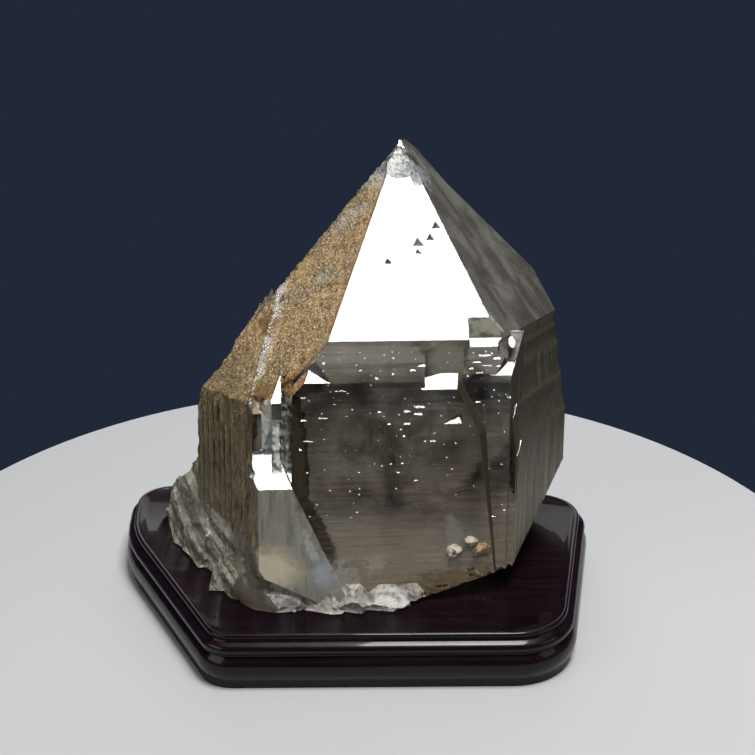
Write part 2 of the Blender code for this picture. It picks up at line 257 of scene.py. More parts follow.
class Graph:
    """Adds and joins the shader nodes of one material."""

    def __init__(self, name: str) -> None:
        """Start a material with an empty tree.

        Args:
            name: Name of the material.
        """
        self.material = bpy.data.materials.new(name)
        self.material.use_nodes = True
        self.tree = self.material.node_tree
        self.tree.nodes.clear()

    def node(self, kind: str, inputs: dict[str | int, object] | None = None,
             **settings: object) -> bpy.types.Node:
        """Add a node.

        Args:
            kind: The node's type name.
            inputs: What goes into its sockets: numbers, colours or other sockets.
            settings: Properties to set on it.

        Returns:
            The node.
        """
        made = self.tree.nodes.new(kind)
        for key, value in settings.items():
            setattr(made, key, value)
        for key, value in (inputs or {}).items():
            self.feed(made.inputs[key], value)
        return made

    def feed(self, socket: Socket, value: object) -> None:
        """Set a socket.

        Args:
            socket: The socket.
            value: A number, a colour or the socket that it is joined to.
        """
        if isinstance(value, Socket):
            self.tree.links.new(value, socket)
        elif isinstance(value, tuple) and len(socket.default_value) == 4:
            socket.default_value = (*value, 1.0)
        else:
            socket.default_value = value

    def maths(self, operation: str, first: object, second: object, clamp: bool = False) -> Socket:
        """A Math node's result, kept between 0 and 1 if it is clamped."""
        made = self.node("ShaderNodeMath", {0: first, 1: second}, operation=operation, use_clamp=clamp)
        return made.outputs[0]

    def times(self, first: object, second: object, clamp: bool = False) -> Socket:
        """The product of two numbers."""
        return self.maths("MULTIPLY", first, second, clamp)

    def plus(self, first: object, second: object) -> Socket:
        """The sum of two numbers."""
        return self.maths("ADD", first, second)

    def most(self, first: object, second: object, clamp: bool = False) -> Socket:
        """The larger of two numbers."""
        return self.maths("MAXIMUM", first, second, clamp)

    def unsigned(self, value: object) -> Socket:
        """A number without its sign."""
        return self.maths("ABSOLUTE", value, 0.0)

    def rest(self, value: object) -> Socket:
        """What a share leaves of 1."""
        return self.maths("SUBTRACT", 1.0, value, True)

    def span(self, value: object, reach: Pair, to: Pair = (0.0, 1.0)) -> Socket:
        """A value carried smoothly from one range to another."""
        ends = {"Value": value, "From Min": reach[0], "From Max": reach[1], "To Min": to[0], "To Max": to[1]}
        return self.node("ShaderNodeMapRange", ends, interpolation_type="SMOOTHSTEP").outputs["Result"]

    def mix(self, factor: object, first: object, second: object) -> Socket:
        """Two numbers mixed."""
        return self.node("ShaderNodeMix", {0: factor, 2: first, 3: second}, data_type="FLOAT").outputs[0]

    def blend(self, factor: object, first: object, second: object) -> Socket:
        """Two colours mixed."""
        return self.node("ShaderNodeMix", {0: factor, 6: first, 7: second}, data_type="RGBA").outputs[2]

    def stretched(self, place: object, scale: Triple) -> Socket:
        """A place multiplied axis by axis."""
        return self.node("ShaderNodeVectorMath", {0: place, 1: scale}, operation="MULTIPLY").outputs[0]

    def along(self, place: object, direction: Triple | Vector) -> Socket:
        """How far a place lies along a direction."""
        made = self.node("ShaderNodeVectorMath", {0: place, 1: direction}, operation="DOT_PRODUCT")
        return made.outputs["Value"]

    def pattern(self, place: object, pattern: Pattern) -> Socket:
        """A noise's value at a place.

        Args:
            place: The place.
            pattern: The noise.

        Returns:
            The value, from 0 to 1.
        """
        if pattern.squeeze is not None:
            place = self.stretched(place, pattern.squeeze)
        inputs = {"Vector": place, "Scale": pattern.scale, "Detail": pattern.detail,
                  "Roughness": pattern.roughness, "Distortion": pattern.distortion}
        return self.node("ShaderNodeTexNoise", inputs).outputs["Fac"]

    def near(self, place: object, middle: Triple, half_sizes: Triple, lean: float = 0.0) -> Socket:
        """Distance from a middle, where 1 is the edge of an ellipsoid.

        Args:
            place: The place to measure from.
            middle: The middle of the ellipsoid.
            half_sizes: Its half sizes.
            lean: Degrees by which its top leans to the right.

        Returns:
            The distance.
        """
        inputs = {"Vector": place, "Location": middle, "Scale": half_sizes,
                  "Rotation": (0.0, math.radians(lean), 0.0)}
        offset = self.node("ShaderNodeMapping", inputs, vector_type="TEXTURE").outputs[0]
        return self.node("ShaderNodeVectorMath", {0: offset}, operation="LENGTH").outputs["Value"]

    def cells(self, place: object, scale: float) -> Socket:
        """Distance to the middle of the cell that a place is in."""
        return self.node("ShaderNodeTexVoronoi", {"Vector": place, "Scale": scale}).outputs["Distance"]

    def attribute(self, name: str) -> Socket:
        """A number stored on the mesh."""
        return self.node("ShaderNodeAttribute", attribute_name=name).outputs["Fac"]

    def bump(self, height: object, distance: float, strength: float, under: Socket | None = None) -> Socket:
        """A fine relief over another one.

        Args:
            height: Its height, from 0 to 1.
            distance: Height of the relief.
            strength: How strongly it shows.
            under: Normal to start from, if any.

        Returns:
            The normal.
        """
        inputs = {"Height": height, "Distance": distance * MM, "Strength": strength}
        if under is not None:
            inputs["Normal"] = under
        return self.node("ShaderNodeBump", inputs).outputs["Normal"]

    def object_place(self) -> Socket:
        """Object coordinates in millimetres."""
        place = self.node("ShaderNodeTexCoord").outputs["Object"]
        return self.stretched(place, (1.0 / MM, 1.0 / MM, 1.0 / MM))

    def crystal_place(self) -> Socket:
        """Object coordinates turned to the crystal's axes.

        Returns:
            The place, in millimetres.
        """
        inputs = {"Vector": self.node("ShaderNodeTexCoord").outputs["Object"],
                  "Location": Vector(AXES.point) * MM, "Rotation": AXES.rotation().to_euler(),
                  "Scale": (MM, MM, MM)}
        return self.node("ShaderNodeMapping", inputs, vector_type="TEXTURE").outputs["Vector"]

    def surface(self, inputs: dict[str, object]) -> bpy.types.Node:
        """Give the material a Principled shader.

        Args:
            inputs: What goes into the shader's sockets.

        Returns:
            The material's output.
        """
        shader = self.node("ShaderNodeBsdfPrincipled", inputs)
        return self.node("ShaderNodeOutputMaterial", {"Surface": shader.outputs[0]})


# Noises that the quartz reads, in the crystal's axes
PATTERNS = {
    "patch": Pattern(0.055, 6.0, 0.62, 0.4),
    "fine": Pattern(0.5, 5.0, 0.65),
    "upright": Pattern(1.0, 6.0, 0.68, 0.0, (0.8, 0.8, 0.24)),
    "streak": Pattern(1.0, 5.0, 0.62, 0.6, (0.45, 0.45, 0.02)),
    "layers": Pattern(1.0, 6.0, 0.66, 0.25, (0.012, 0.012, 0.42)),
    "threads": Pattern(1.0, 5.0, 0.66, 0.3, (1.5, 1.5, 0.10)),
    "cloud": Pattern(0.028, 5.0, 0.6, 0.5),
    "billow": Pattern(0.07, 5.0, 0.62, 0.6),
    "flecks": Pattern(1.1, 3.0, 0.6, 0.0, (1.0, 1.0, 0.55)),
    "gold": Pattern(1.0, 5.0, 0.7, 0.0, (0.20, 0.20, 0.09)),
    "specks": Pattern(0.9, 3.0, 0.6),
    "sparks": Pattern(1.3, 2.0, 0.6),
    "milk": Pattern(1.0, 5.0, 0.7, 0.0, (0.55, 0.55, 0.06)),
    "veil": Pattern(1.0, 5.0, 0.6, 0.5, (0.07, 0.07, 0.028)),
    "worn": Pattern(1.0, 5.0, 0.66, 0.3, (0.02, 0.02, 0.55)),
    "sand": Pattern(1.1, 3.0, 0.6),
    "fray": Pattern(0.24, 5.0, 0.66, 0.4),
    "lines": Pattern(1.0, 5.0, 0.65, 0.0, (0.012, 0.012, 1.1)),
    "waves": Pattern(0.12, 3.0, 0.5),
}
PLATES = Pattern(1.0, 4.0, 0.55, 0.5)

# Which way the plates of the flared base run and lap, and how closely they follow one another
PLATE_RUN = (0.62, -0.22, -0.75)
PLATE_LAP = (0.72, 0.05, 0.69)
PLATE_PITCH = (0.035, 0.24)

OLIVE = (0.070, 0.054, 0.027)
DARK_OLIVE = (0.055, 0.042, 0.022)
DARK_BROWN = (0.036, 0.027, 0.014)
RUST_BROWN = (0.17, 0.095, 0.034)
ICE_WHITE = (0.52, 0.48, 0.40)
PALE_SMOKE = (0.33, 0.305, 0.24)
RISER_BEIGE = (0.43, 0.415, 0.33)
OCHRE_VEIL = (0.24, 0.165, 0.075)
SPUR_CREAM = (0.60, 0.53, 0.38)
# A real fracture shard whose blue-grey mirror glint is painted in as a flat colour: painted reflection
SHARD_GLINT_GREY = (0.37, 0.39, 0.39)
# Painted highlight: a bright line along the spur's right edge
SHARD_EDGE_HIGHLIGHT = (0.55, 0.56, 0.54)
CHIP_GREY = (0.29, 0.30, 0.31)
OLIVE_OCHRE = (0.20, 0.145, 0.058)
OCHRE = (0.41, 0.265, 0.095)
RUST = (0.12, 0.052, 0.016)
EDGE_RUST = (0.27, 0.105, 0.026)
# Cream crystals of the crust, brightened to stand in for their glints: partly painted highlight
CREAM_AND_GLINT = (0.62, 0.53, 0.37)
WORN_BROWN = (0.085, 0.062, 0.038)
BARK_BROWN = (0.098, 0.079, 0.045)
BARK_GOLD = (0.30, 0.22, 0.10)
DARK_SPECK = (0.022, 0.017, 0.011)
# Painted shade: a darker brown laid where the flared base's plates part, standing in for the shade between
# them
PLATE_GAP_SHADE = (0.135, 0.112, 0.072)
# Painted highlights: pale specks on the flared base's plates that stand in for their glints
PAINTED_PLATE_GLINT = (0.70, 0.69, 0.60)
PALE_FIBRE = (0.31, 0.26, 0.175)
MILK_LINE = (0.33, 0.315, 0.25)
VEIL_GREY = (0.185, 0.175, 0.155)
GRAIN_STAIN = (0.27, 0.18, 0.085)


@dataclass(frozen=True)
class Blotch:
    """A stain, a wisp or a painted glint in one place of the crystal: an ellipsoid with a ragged edge."""

    middle: Triple
    half_sizes: Triple
    tone: Triple
    cover: float
    lean: float = 0.0
    frayed: float = 1.0


BLOTCHES = (
    Blotch((-76.0, -63.0, -122.0), (3.6, 9.0, 14.0), OLIVE, 0.85),
    Blotch((-56.5, -71.0, -130.0), (3.2, 4.0, 28.0), OLIVE, 0.88),
    Blotch((-70.5, -62.0, -113.0), (6.0, 9.0, 7.0), RUST_BROWN, 0.85),
    Blotch((-60.0, -67.0, -110.0), (4.5, 9.0, 8.0), RUST_BROWN, 0.80),
    Blotch((-67.0, -28.0, -87.5), (9.0, 11.0, 6.5), RUST_BROWN, 1.0),
    Blotch((-54.0, -73.5, -142.0), (4.4, 4.0, 32.0), DARK_OLIVE, 0.72, -3.0, 0.4),
    Blotch((-44.0, -71.8, -179.0), (4.2, 3.0, 25.0), DARK_OLIVE, 0.62, -25.0, 0.4),
    Blotch((49.0, -66.0, -132.0), (3.6, 8.0, 36.0), DARK_OLIVE, 0.70, 0.0, 0.5),
    Blotch((33.5, -62.0, -83.0), (14.0, 3.4, 8.0), RISER_BEIGE, 0.82),
    Blotch((14.3, -69.1, -97.0), (17.0, 2.6, 14.0), PALE_SMOKE, 0.62, 0.0, 0.3),
    Blotch((20.0, -71.9, -180.5), (16.0, 6.0, 6.0), ICE_WHITE, 0.34, 78.0),
    Blotch((9.0, -71.5, -191.0), (8.0, 6.0, 8.0), ICE_WHITE, 0.26),
    Blotch((-18.0, -71.3, -195.0), (8.0, 6.0, 7.0), ICE_WHITE, 0.42),
    Blotch((-33.0, -71.2, -202.0), (9.0, 6.0, 11.0), ICE_WHITE, 0.50),
    Blotch((24.0, -71.0, -205.0), (26.0, 6.0, 7.0), OCHRE_VEIL, 0.55),
    Blotch((-66.5, -75.0, -195.0), (18.0, 5.0, 13.0), SPUR_CREAM, 0.85, 14.0, 0.35),
    # the shard: a real fracture, its mirror glint a painted reflection
    Blotch((-42.0, -75.0, -198.0), (8.0, 4.0, 11.0), SHARD_GLINT_GREY, 0.80, 0.0, 0.6),
    # painted highlight along the spur's right edge
    Blotch((-49.0, -75.0, -185.0), (2.6, 4.0, 13.0), SHARD_EDGE_HIGHLIGHT, 0.50, -24.0),
    Blotch((-87.0, -37.0, -112.0), (20.0, 24.0, 28.0), OLIVE, 0.42),
    Blotch((5.0, -10.0, -15.0), (12.0, 14.0, 14.0), CHIP_GREY, 0.78),
    Blotch((7.0, -7.0, -9.5), (1.8, 9.0, 7.0), DARK_BROWN, 0.90, -38.0),
)


@dataclass(frozen=True)
class Marking:
    """A colour laid where a pattern runs through its reach, as strongly as its share and its gate let it.

    A gate is a second pattern and the ramp that it is read by.
    """

    pattern: str
    reach: Pair
    tone: Triple
    share: Pair = (0.0, 1.0)
    gate: tuple[str, Ramp] | None = None


@dataclass(frozen=True)
class Look:
    """How one kind of surface hides the clear stone: its pattern, cover, tone, roughness and markings."""

    pattern: str
    cover: Pair
    tone: Triple
    rough: Pair
    markings: tuple[Marking, ...] = ()


LOOKS = {
    Finish.SATIN: Look("patch", (0.68, 0.90), (0.082, 0.074, 0.060), (0.20, 0.34),
                       (Marking("veil", (0.38, 0.70), VEIL_GREY),)),
    Finish.MILKY: Look("streak", (0.50, 0.74), (0.185, 0.182, 0.140), (0.16, 0.34),
                       (Marking("milk", (0.34, 0.64), MILK_LINE),)),
    Finish.LOBE: Look("patch", (0.60, 0.80), (0.150, 0.125, 0.095), (0.20, 0.36)),
    Finish.CHIPPED: Look("upright", (0.55, 0.95), (0.72, 0.73, 0.66), (0.12, 0.42)),
    Finish.FIBROUS: Look("streak", (0.60, 0.88), (0.056, 0.047, 0.028), (0.40, 0.60),
                         (Marking("streak", (0.35, 0.6), PALE_FIBRE,
                                  gate=("depth", ((-185.0, -120.0), (0.75, 0.0)))),)),
    Finish.BARK: Look("upright", (0.86, 1.00), (0.205, 0.160, 0.085), (0.40, 0.60),
                      (Marking("gold", (0.50, 0.66), BARK_GOLD),
                       Marking("upright", (0.36, 0.62), BARK_BROWN, (1.0, 0.0)),
                       Marking("specks", (0.60, 0.70), DARK_SPECK, (0.0, 0.6)))),
    Finish.WEATHERED: Look("patch", (0.35, 0.62), (0.22, 0.20, 0.165), (0.16, 0.42),
                           (Marking("worn", (0.38, 0.62), WORN_BROWN),
                            Marking("fine", (0.52, 0.66), OCHRE, (0.0, 0.7)))),
    Finish.ICY: Look("fine", (0.20, 0.80), (0.49, 0.465, 0.42), (0.15, 0.45)),
    Finish.PLATED: Look("plates", (0.60, 0.94), (0.40, 0.38, 0.30), (0.20, 0.45),
                        # painted shade in the gaps between the plates
                        (Marking("plates", (0.38, 0.60), PLATE_GAP_SHADE, (1.0, 0.0)),
                         # painted glints on the plates
                         Marking("sparks", (0.60, 0.66), PAINTED_PLATE_GLINT, (0.0, 0.8)))),
    Finish.GLITTER: Look("fine", (0.20, 0.80), (0.52, 0.47, 0.40), (0.12, 0.30)),
    Finish.GRAIN: Look("patch", (1.00, 1.00), (0.38, 0.34, 0.26), (0.40, 0.60),
                       (Marking("grain_side", (101.5, 105.5), GRAIN_STAIN),)),
    Finish.BROWN: Look("fine", (0.66, 0.96), (0.040, 0.031, 0.017), (0.40, 0.60)),
}

# The ochre crust: olive ochre, rust in the hollows and along the lower edge, cream crystals whose pale specks
# are also painted glints
CRUST_MARKINGS = (
    Marking("patch", (0.34, 0.66), OCHRE),
    Marking("fine", (0.34, 0.62), RUST, (1.0, 0.0)),
    # cream crystals, their pale specks also painted druse glints
    Marking("sand", (0.50, 0.68), CREAM_AND_GLINT),
    Marking("patch", (0.35, 0.6), EDGE_RUST, gate=("front", ((58.0, 72.0), (0.0, 0.6)))),
)


@dataclass(frozen=True)
class FineRelief:
    """A fine relief: its pattern, the kinds of surface that have it and how much, its height and strength."""

    pattern: str
    kinds: dict[Finish, float]
    distance: float
    strength: float


FINE_RELIEFS = (
    FineRelief("lines", {Finish.WALL: 1.0, Finish.MILKY: 1.0}, 0.16, 0.6),
    FineRelief("upright", {Finish.BARK: 1.0, Finish.FIBROUS: 1.0}, 0.6, 0.8),
    FineRelief("fine", {Finish.ICY: 1.0, Finish.CHIPPED: 1.0, Finish.GRAIN: 1.0, Finish.PLATED: 0.6},
               0.6, 0.7),
    FineRelief("grains", {Finish.STAINED: 1.0, Finish.GLITTER: 1.0}, 0.5, 0.8),
    FineRelief("waves", {Finish.SATIN: 1.0, Finish.WEATHERED: 1.0, Finish.LOBE: 1.0, Finish.FIBROUS: 1.0},
               0.8, 0.5),
)


@dataclass
class SmokyQuartz:
    """The clear material of the crystal, with every kind of surface that it has."""

    ior: float = 1.544
    absorb: Triple = (0.43, 0.37, 0.25)
    density: float = 13.0
    glass: Triple = (0.97, 0.94, 0.86)
    haze: Triple = (0.215, 0.172, 0.108)
    smoke: Triple = (0.11, 0.115, 0.095)
    tea: Triple = (0.55, 0.40, 0.28)
    amber: Triple = (0.74, 0.56, 0.33)

    foot_haze: Ramp = ((-196.0, -150.0), (0.42, 0.0))
    top_haze: Ramp = ((-108.0, -92.0), (0.0, 0.22))
    cloud_haze: Ramp = ((0.44, 0.66), (0.0, 0.10))
    layer_haze: Ramp = ((0.34, 0.66), (0.35, 1.25))
    haze_gain: float = 1.6
    smoke_middle: Triple = (-10.0, -73.0, -141.0)
    smoke_size: Triple = (32.0, 60.0, 30.0)
    smoke_billow: Ramp = ((0.3, 0.7), (0.0, 1.3))
    smoke_edge: Ramp = ((0.55, 1.65), (1.0, 0.0))
    smoke_thread: Ramp = ((0.34, 0.62), (1.0, 0.5))
    smoke_tint: float = 0.85
    smoke_clears: float = 0.7
    smoke_fleck: Ramp = ((0.60, 0.70), (0.0, 0.46))
    tea_depth: float = 170.0
    tea_height: Ramp = ((10.0, 30.0), (1.0, 0.0))
    tea_layer: Ramp = ((0.38, 0.60), (0.0, 1.0))
    amber_foot: Ramp = ((-206.0, -172.0), (0.75, 0.0))
    glass_rough: Ramp = ((0.35, 0.7), (0.015, 0.04))
    wall_rough: Ramp = ((0.35, 0.65), (0.07, 0.17))

    cover_reach: Pair = (0.32, 0.64)
    rough_reach: Pair = (0.3, 0.7)
    tone_gain: float = 1.5
    crust_patch: Ramp = ((0.26, 0.42), (0.82, 1.0))
    crust_top: Ramp = ((-26.0, -12.0), (1.0, 0.2))
    crust_worn: Ramp = ((-158.0, -112.0), (0.0, 1.0))
    crust_crumb: Ramp = ((0.3, 0.7), (0.2, 1.1))
    crust_cover: float = 0.94
    crust_rough: Pair = (0.35, 0.6)
    band_run: Triple = (1.0, 0.0, -0.37)
    band_place: float = 32.4
    band_edge: Ramp = ((1.3, 1.9), (0.0, 1.0))
    band_fray: Ramp = ((0.3, 0.7), (-0.9, 0.9))
    blotch_fray: Ramp = ((0.3, 0.7), (-0.42, 0.42))
    blotch_edge: Pair = (0.30, 1.15)
    least_body: float = 0.02
    grain_side: Triple = (1.0, 0.0, -0.4)
    grain_size: float = 0.75

    graph: Graph = field(init=False)
    place: Socket = field(init=False)
    marks: dict[Finish, Socket] = field(init=False)
    patterns: dict[str, Socket] = field(init=False)

    def make(self) -> bpy.types.Material:
        """Build the material.

        Returns:
            The material, which reads the marks of Finish from the mesh.
        """
        self.begin()
        graph = self.graph
        colour, body, rough = self.stone()
        for kind, look in LOOKS.items():
            share = graph.times(self.marks[kind], self.read(look.pattern, (self.cover_reach, look.cover)))
            tone = self.marked(look.tone, look.markings)
            colour = graph.blend(graph.times(share, self.tone_gain, True), colour, tone)
            body = graph.most(body, share)
            rough = graph.mix(self.marks[kind], rough, self.read("fine", (self.rough_reach, look.rough)))
        crust = self.crust()
        colour = graph.blend(crust, colour, self.marked(OLIVE_OCHRE, CRUST_MARKINGS))
        body = graph.most(body, graph.times(crust, self.crust_cover), True)
        rough = graph.mix(crust, rough, self.read("fine", (self.rough_reach, self.crust_rough)))
        colour, body = self.blotched(colour, body)
        output = graph.surface({
            "Base Color": colour,
            "Roughness": rough,
            "Transmission Weight": graph.rest(body),
            "Normal": self.relief(),
            "IOR": self.ior,
        })
        volume = graph.node("ShaderNodeVolumeAbsorption", {"Color": self.absorb, "Density": self.density})
        graph.feed(output.inputs["Volume"], volume.outputs[0])
        return graph.material

    def begin(self) -> None:
        """Start the graph with the crystal's place, the marks of its surfaces and the patterns."""
        graph = Graph("smoky_quartz")
        place = graph.crystal_place()
        run = graph.times(graph.along(place, PLATE_RUN), PLATE_PITCH[0])
        lap = graph.times(graph.along(place, PLATE_LAP), PLATE_PITCH[1])
        plates = graph.node("ShaderNodeCombineXYZ", {"X": run, "Y": lap}).outputs[0]
        self.patterns = {name: graph.pattern(place, pattern) for name, pattern in PATTERNS.items()}
        self.patterns["plates"] = graph.pattern(plates, PLATES)
        self.patterns["grains"] = graph.cells(place, self.grain_size)
        self.patterns["depth"] = graph.along(place, UP)
        self.patterns["front"] = graph.along(place, FRONT)
        self.patterns["grain_side"] = graph.along(place, self.grain_side)
        self.marks = {kind: graph.attribute(kind.name.lower()) for kind in Finish}
        self.graph = graph
        self.place = place

    def read(self, name: str, ramp: Ramp) -> Socket:
        """A pattern carried along a ramp."""
        return self.graph.span(self.patterns[name], *ramp)

    def marked(self, plain: Triple, markings: Sequence[Marking]) -> object:
        """A colour with markings over it.

        Args:
            plain: The colour under them.
            markings: The markings, the lowest first.

        Returns:
            The colour, plain where there are no markings.
        """
        colour = plain
        for marking in markings:
            share = self.read(marking.pattern, (marking.reach, marking.share))
            if marking.gate is not None:
                share = self.graph.times(share, self.read(*marking.gate))
            colour = self.graph.blend(share, colour, marking.tone)
        return colour

    def stone(self) -> tuple[Socket, Socket, Socket]:
        """The clear stone: haze at the foot and under the point, a dark smoke and tea-brown layers.

        Returns:
            The colour, the share that isn't clear, and the roughness.
        """
        graph = self.graph
        wall = self.marks[Finish.WALL]
        ragged = self.read("billow", self.smoke_billow)
        spread = graph.plus(graph.near(self.place, self.smoke_middle, self.smoke_size), ragged)
        smoke = graph.span(spread, *self.smoke_edge)
        haze = graph.plus(self.read("depth", self.top_haze), self.read("cloud", self.cloud_haze))
        haze = graph.plus(self.read("depth", self.foot_haze), haze)
        haze = graph.times(haze, self.read("layers", self.layer_haze))
        haze = graph.times(haze, graph.rest(graph.times(smoke, self.smoke_clears)))
        haze = graph.most(haze, graph.times(self.read("flecks", self.smoke_fleck), smoke))
        haze = graph.times(haze, wall, True)

        height = graph.unsigned(graph.plus(self.patterns["depth"], self.tea_depth))
        brewed = graph.times(graph.span(height, *self.tea_height), self.read("layers", self.tea_layer))
        thick = graph.times(smoke, self.read("threads", self.smoke_thread))
        tint = graph.blend(brewed, self.glass, self.tea)
        tint = graph.blend(graph.times(thick, self.smoke_tint), tint, self.smoke)
        tint = graph.blend(self.read("depth", self.amber_foot), tint, self.amber)
        tint = graph.blend(wall, self.glass, tint)
        colour = graph.blend(graph.times(haze, self.haze_gain, True), tint, self.haze)
        rough = graph.mix(wall, self.read("patch", self.glass_rough), self.read("patch", self.wall_rough))
        return colour, haze, rough

    def crust(self) -> Socket:
        """Where the ochre crust lies: on the stained treads, beside the band and down the left flank.

        Returns:
            The crust's share.
        """
        graph = self.graph
        treads = graph.times(self.marks[Finish.STAINED], self.read("patch", self.crust_patch))
        treads = graph.times(treads, self.read("depth", self.crust_top))
        off_band = graph.unsigned(graph.plus(graph.along(self.place, self.band_run), self.band_place))
        off_band = graph.plus(off_band, self.read("fine", self.band_fray))
        band = graph.times(self.marks[Finish.GLITTER], graph.span(off_band, *self.band_edge))
        worn = graph.times(self.read("depth", self.crust_worn), self.read("fine", self.crust_crumb))
        return graph.most(graph.most(treads, band), graph.times(worn, self.marks[Finish.BARK]), True)

    def blotched(self, colour: Socket, body: Socket) -> tuple[Socket, Socket]:
        """Lay the stains, wisps and painted glints over everything but the clean glassy faces.

        Args:
            colour: The colour under them.
            body: The share under them that isn't clear.

        Returns:
            The new colour and share.
        """
        graph = self.graph
        ragged = self.read("fray", self.blotch_fray)
        stainable = graph.rest(self.marks[Finish.GLASS])
        for blotch in BLOTCHES:
            spread = graph.plus(graph.near(self.place, blotch.middle, blotch.half_sizes, blotch.lean),
                                graph.times(ragged, blotch.frayed))
            share = graph.times(graph.span(spread, self.blotch_edge, (blotch.cover, 0.0)), stainable)
            body = graph.most(body, share)
            weight = graph.maths("DIVIDE", share, graph.most(body, self.least_body), True)
            colour = graph.blend(weight, colour, blotch.tone)
        return colour, body

    def relief(self) -> Socket:
        """The fine relief of every kind of surface.

        Returns:
            The normal.
        """
        graph = self.graph
        normal = None
        for fine in FINE_RELIEFS:
            shares = [graph.times(self.marks[kind], weight) for kind, weight in fine.kinds.items()]
            height = graph.times(self.patterns[fine.pattern], reduce(graph.most, shares))
            normal = graph.bump(height, fine.distance, fine.strength, normal)
        return normal


@dataclass(frozen=True)
class LacqueredWood:
    """Nearly black purple-brown lacquer over close-grained wood, with a little dust."""

    deep: Triple = (0.0045, 0.0015, 0.0032)
    warm: Triple = (0.011, 0.0035, 0.0065)
    dust: Triple = (0.35, 0.32, 0.30)
    grain: Pattern = Pattern(1.0, 6.0, 0.6, 0.5, (0.02, 0.35, 0.35))
    specks: Pattern = Pattern(1.4, 2.0, 0.5)
    cloud: Pattern = Pattern(0.03, 3.0, 0.5)
    peel: Pattern = Pattern(0.25, 2.0, 0.5)
    grain_reach: Pair = (0.35, 0.7)
    speck_share: Ramp = ((0.66, 0.74), (0.0, 0.05))
    rough: Ramp = ((0.3, 0.7), (0.22, 0.38))
    peel_height: float = 0.05
    peel_strength: float = 0.35
    under_gloss: float = 0.12
    coat: float = 0.35
    coat_roughness: float = 0.05

    def make(self) -> bpy.types.Material:
        """Build the material.

        Returns:
            The material.
        """
        graph = Graph("lacquered_wood")
        place = graph.object_place()
        grain = graph.span(graph.pattern(place, self.grain), self.grain_reach)
        specks = graph.span(graph.pattern(place, self.specks), *self.speck_share)
        graph.surface({
            "Base Color": graph.blend(specks, graph.blend(grain, self.deep, self.warm), self.dust),
            "Roughness": graph.span(graph.pattern(place, self.cloud), *self.rough),
            "Normal": graph.bump(graph.pattern(place, self.peel), self.peel_height, self.peel_strength),
            "Specular IOR Level": self.under_gloss,
            "Coat Weight": self.coat,
            "Coat Roughness": self.coat_roughness,
        })
        return graph.material


@dataclass(frozen=True)
class FacetField:
    """Relief of broken or drusy quartz: small flat facets, each tipped its own way."""

    cell: float
    relief: float
    tip: float
    stretch: Triple = (1.0, 1.0, 1.0)
    seed: float = 0.0
    run: Triple | None = None
    run_share: float = 0.82
    level_share: float = 0.35
    seed_skew: float = 1.7
    level_draw: float = 7.3
    tip_draw: float = 5.1

    def depth(self, spot: Vector) -> float:
        """How far the surface is pushed in at a spot.

        Args:
            spot: The spot in the crystal's axes.

        Returns:
            The depth, never below 0.
        """
        if self.run is not None:
            direction = Vector(self.run).normalized()
            spot = spot - direction * spot.dot(direction) * self.run_share
        scaled = Vector(part / (self.cell * long) for part, long in zip(spot, self.stretch))
        scaled += Vector((self.seed, self.seed_skew * self.seed, -self.seed))
        _, middles = noise.voronoi(scaled)
        middle = middles[0]
        level = noise.cell(middle * self.level_draw)
        tipped = noise.cell_vector(middle * self.tip_draw)
        slope = (scaled - middle).dot(tipped) * self.tip
        return self.relief * min(1.0, max(0.0, 0.5 + self.level_share * level + slope))


RELIEFS = {
    Finish.STAINED: (FacetField(2.4, 0.7, 1.2), FacetField(9.0, 0.7, 0.8, seed=3.0)),
    Finish.BARK: (FacetField(1.8, 0.45, 0.9, (1.0, 1.0, 2.4)),
                  FacetField(7.0, 1.5, 0.9, (1.0, 1.0, 1.5), 4.0)),
    Finish.FIBROUS: (FacetField(2.0, 0.18, 0.7, (1.0, 1.0, 14.0), 2.0),),
    Finish.CHIPPED: (FacetField(4.0, 1.1, 1.2, seed=6.0), FacetField(1.6, 0.4, 1.0, seed=7.0)),
    Finish.GLITTER: (FacetField(1.8, 0.6, 1.2, seed=8.0),),
    Finish.WEATHERED: (FacetField(16.0, 1.4, 0.9, (1.0, 1.0, 1.6), 9.0),
                       FacetField(5.0, 0.5, 1.0, seed=10.0)),
    Finish.ICY: (FacetField(7.0, 1.2, 1.0, seed=12.0), FacetField(2.6, 0.5, 1.2, seed=13.0)),
    Finish.PLATED: (FacetField(6.0, 1.3, 1.0, seed=15.0, run=PLATE_RUN),
                    FacetField(2.4, 0.5, 1.0, seed=16.0)),
    Finish.LOBE: (FacetField(14.0, 0.5, 0.6, seed=17.0),),
    Finish.GRAIN: (FacetField(1.7, 0.6, 1.2, seed=14.0),),
}

# Directions and pitches of the grid that each rough kind of surface is cut by
LEFT_RUN = face_normal(-60.0).cross(UP)
RIGHT_RUN = face_normal(60.0).cross(UP)
GRIDS = (
    ((Finish.STAINED,), ((UP, 1.3), (LEFT_RUN, 1.3))),
    ((Finish.BARK,), ((UP, 2.6), (LEFT_RUN, 1.0))),
    ((Finish.FIBROUS,), ((UP, 4.0), (RIGHT_RUN, 1.3))),
    ((Finish.CHIPPED,), ((UP, 0.9), (ACROSS, 0.9))),
    ((Finish.GLITTER,), ((UP, 1.2), (ACROSS, 1.0))),
    ((Finish.WEATHERED,), ((UP, 3.0), (ACROSS, 3.0), (BACK, 6.0))),
    ((Finish.ICY, Finish.PLATED, Finish.LOBE), ((UP, 1.7), (ACROSS, 1.7), (BACK, 1.7))),
    ((Finish.GRAIN,), ((UP, 0.8), (ACROSS, 0.8))),
)


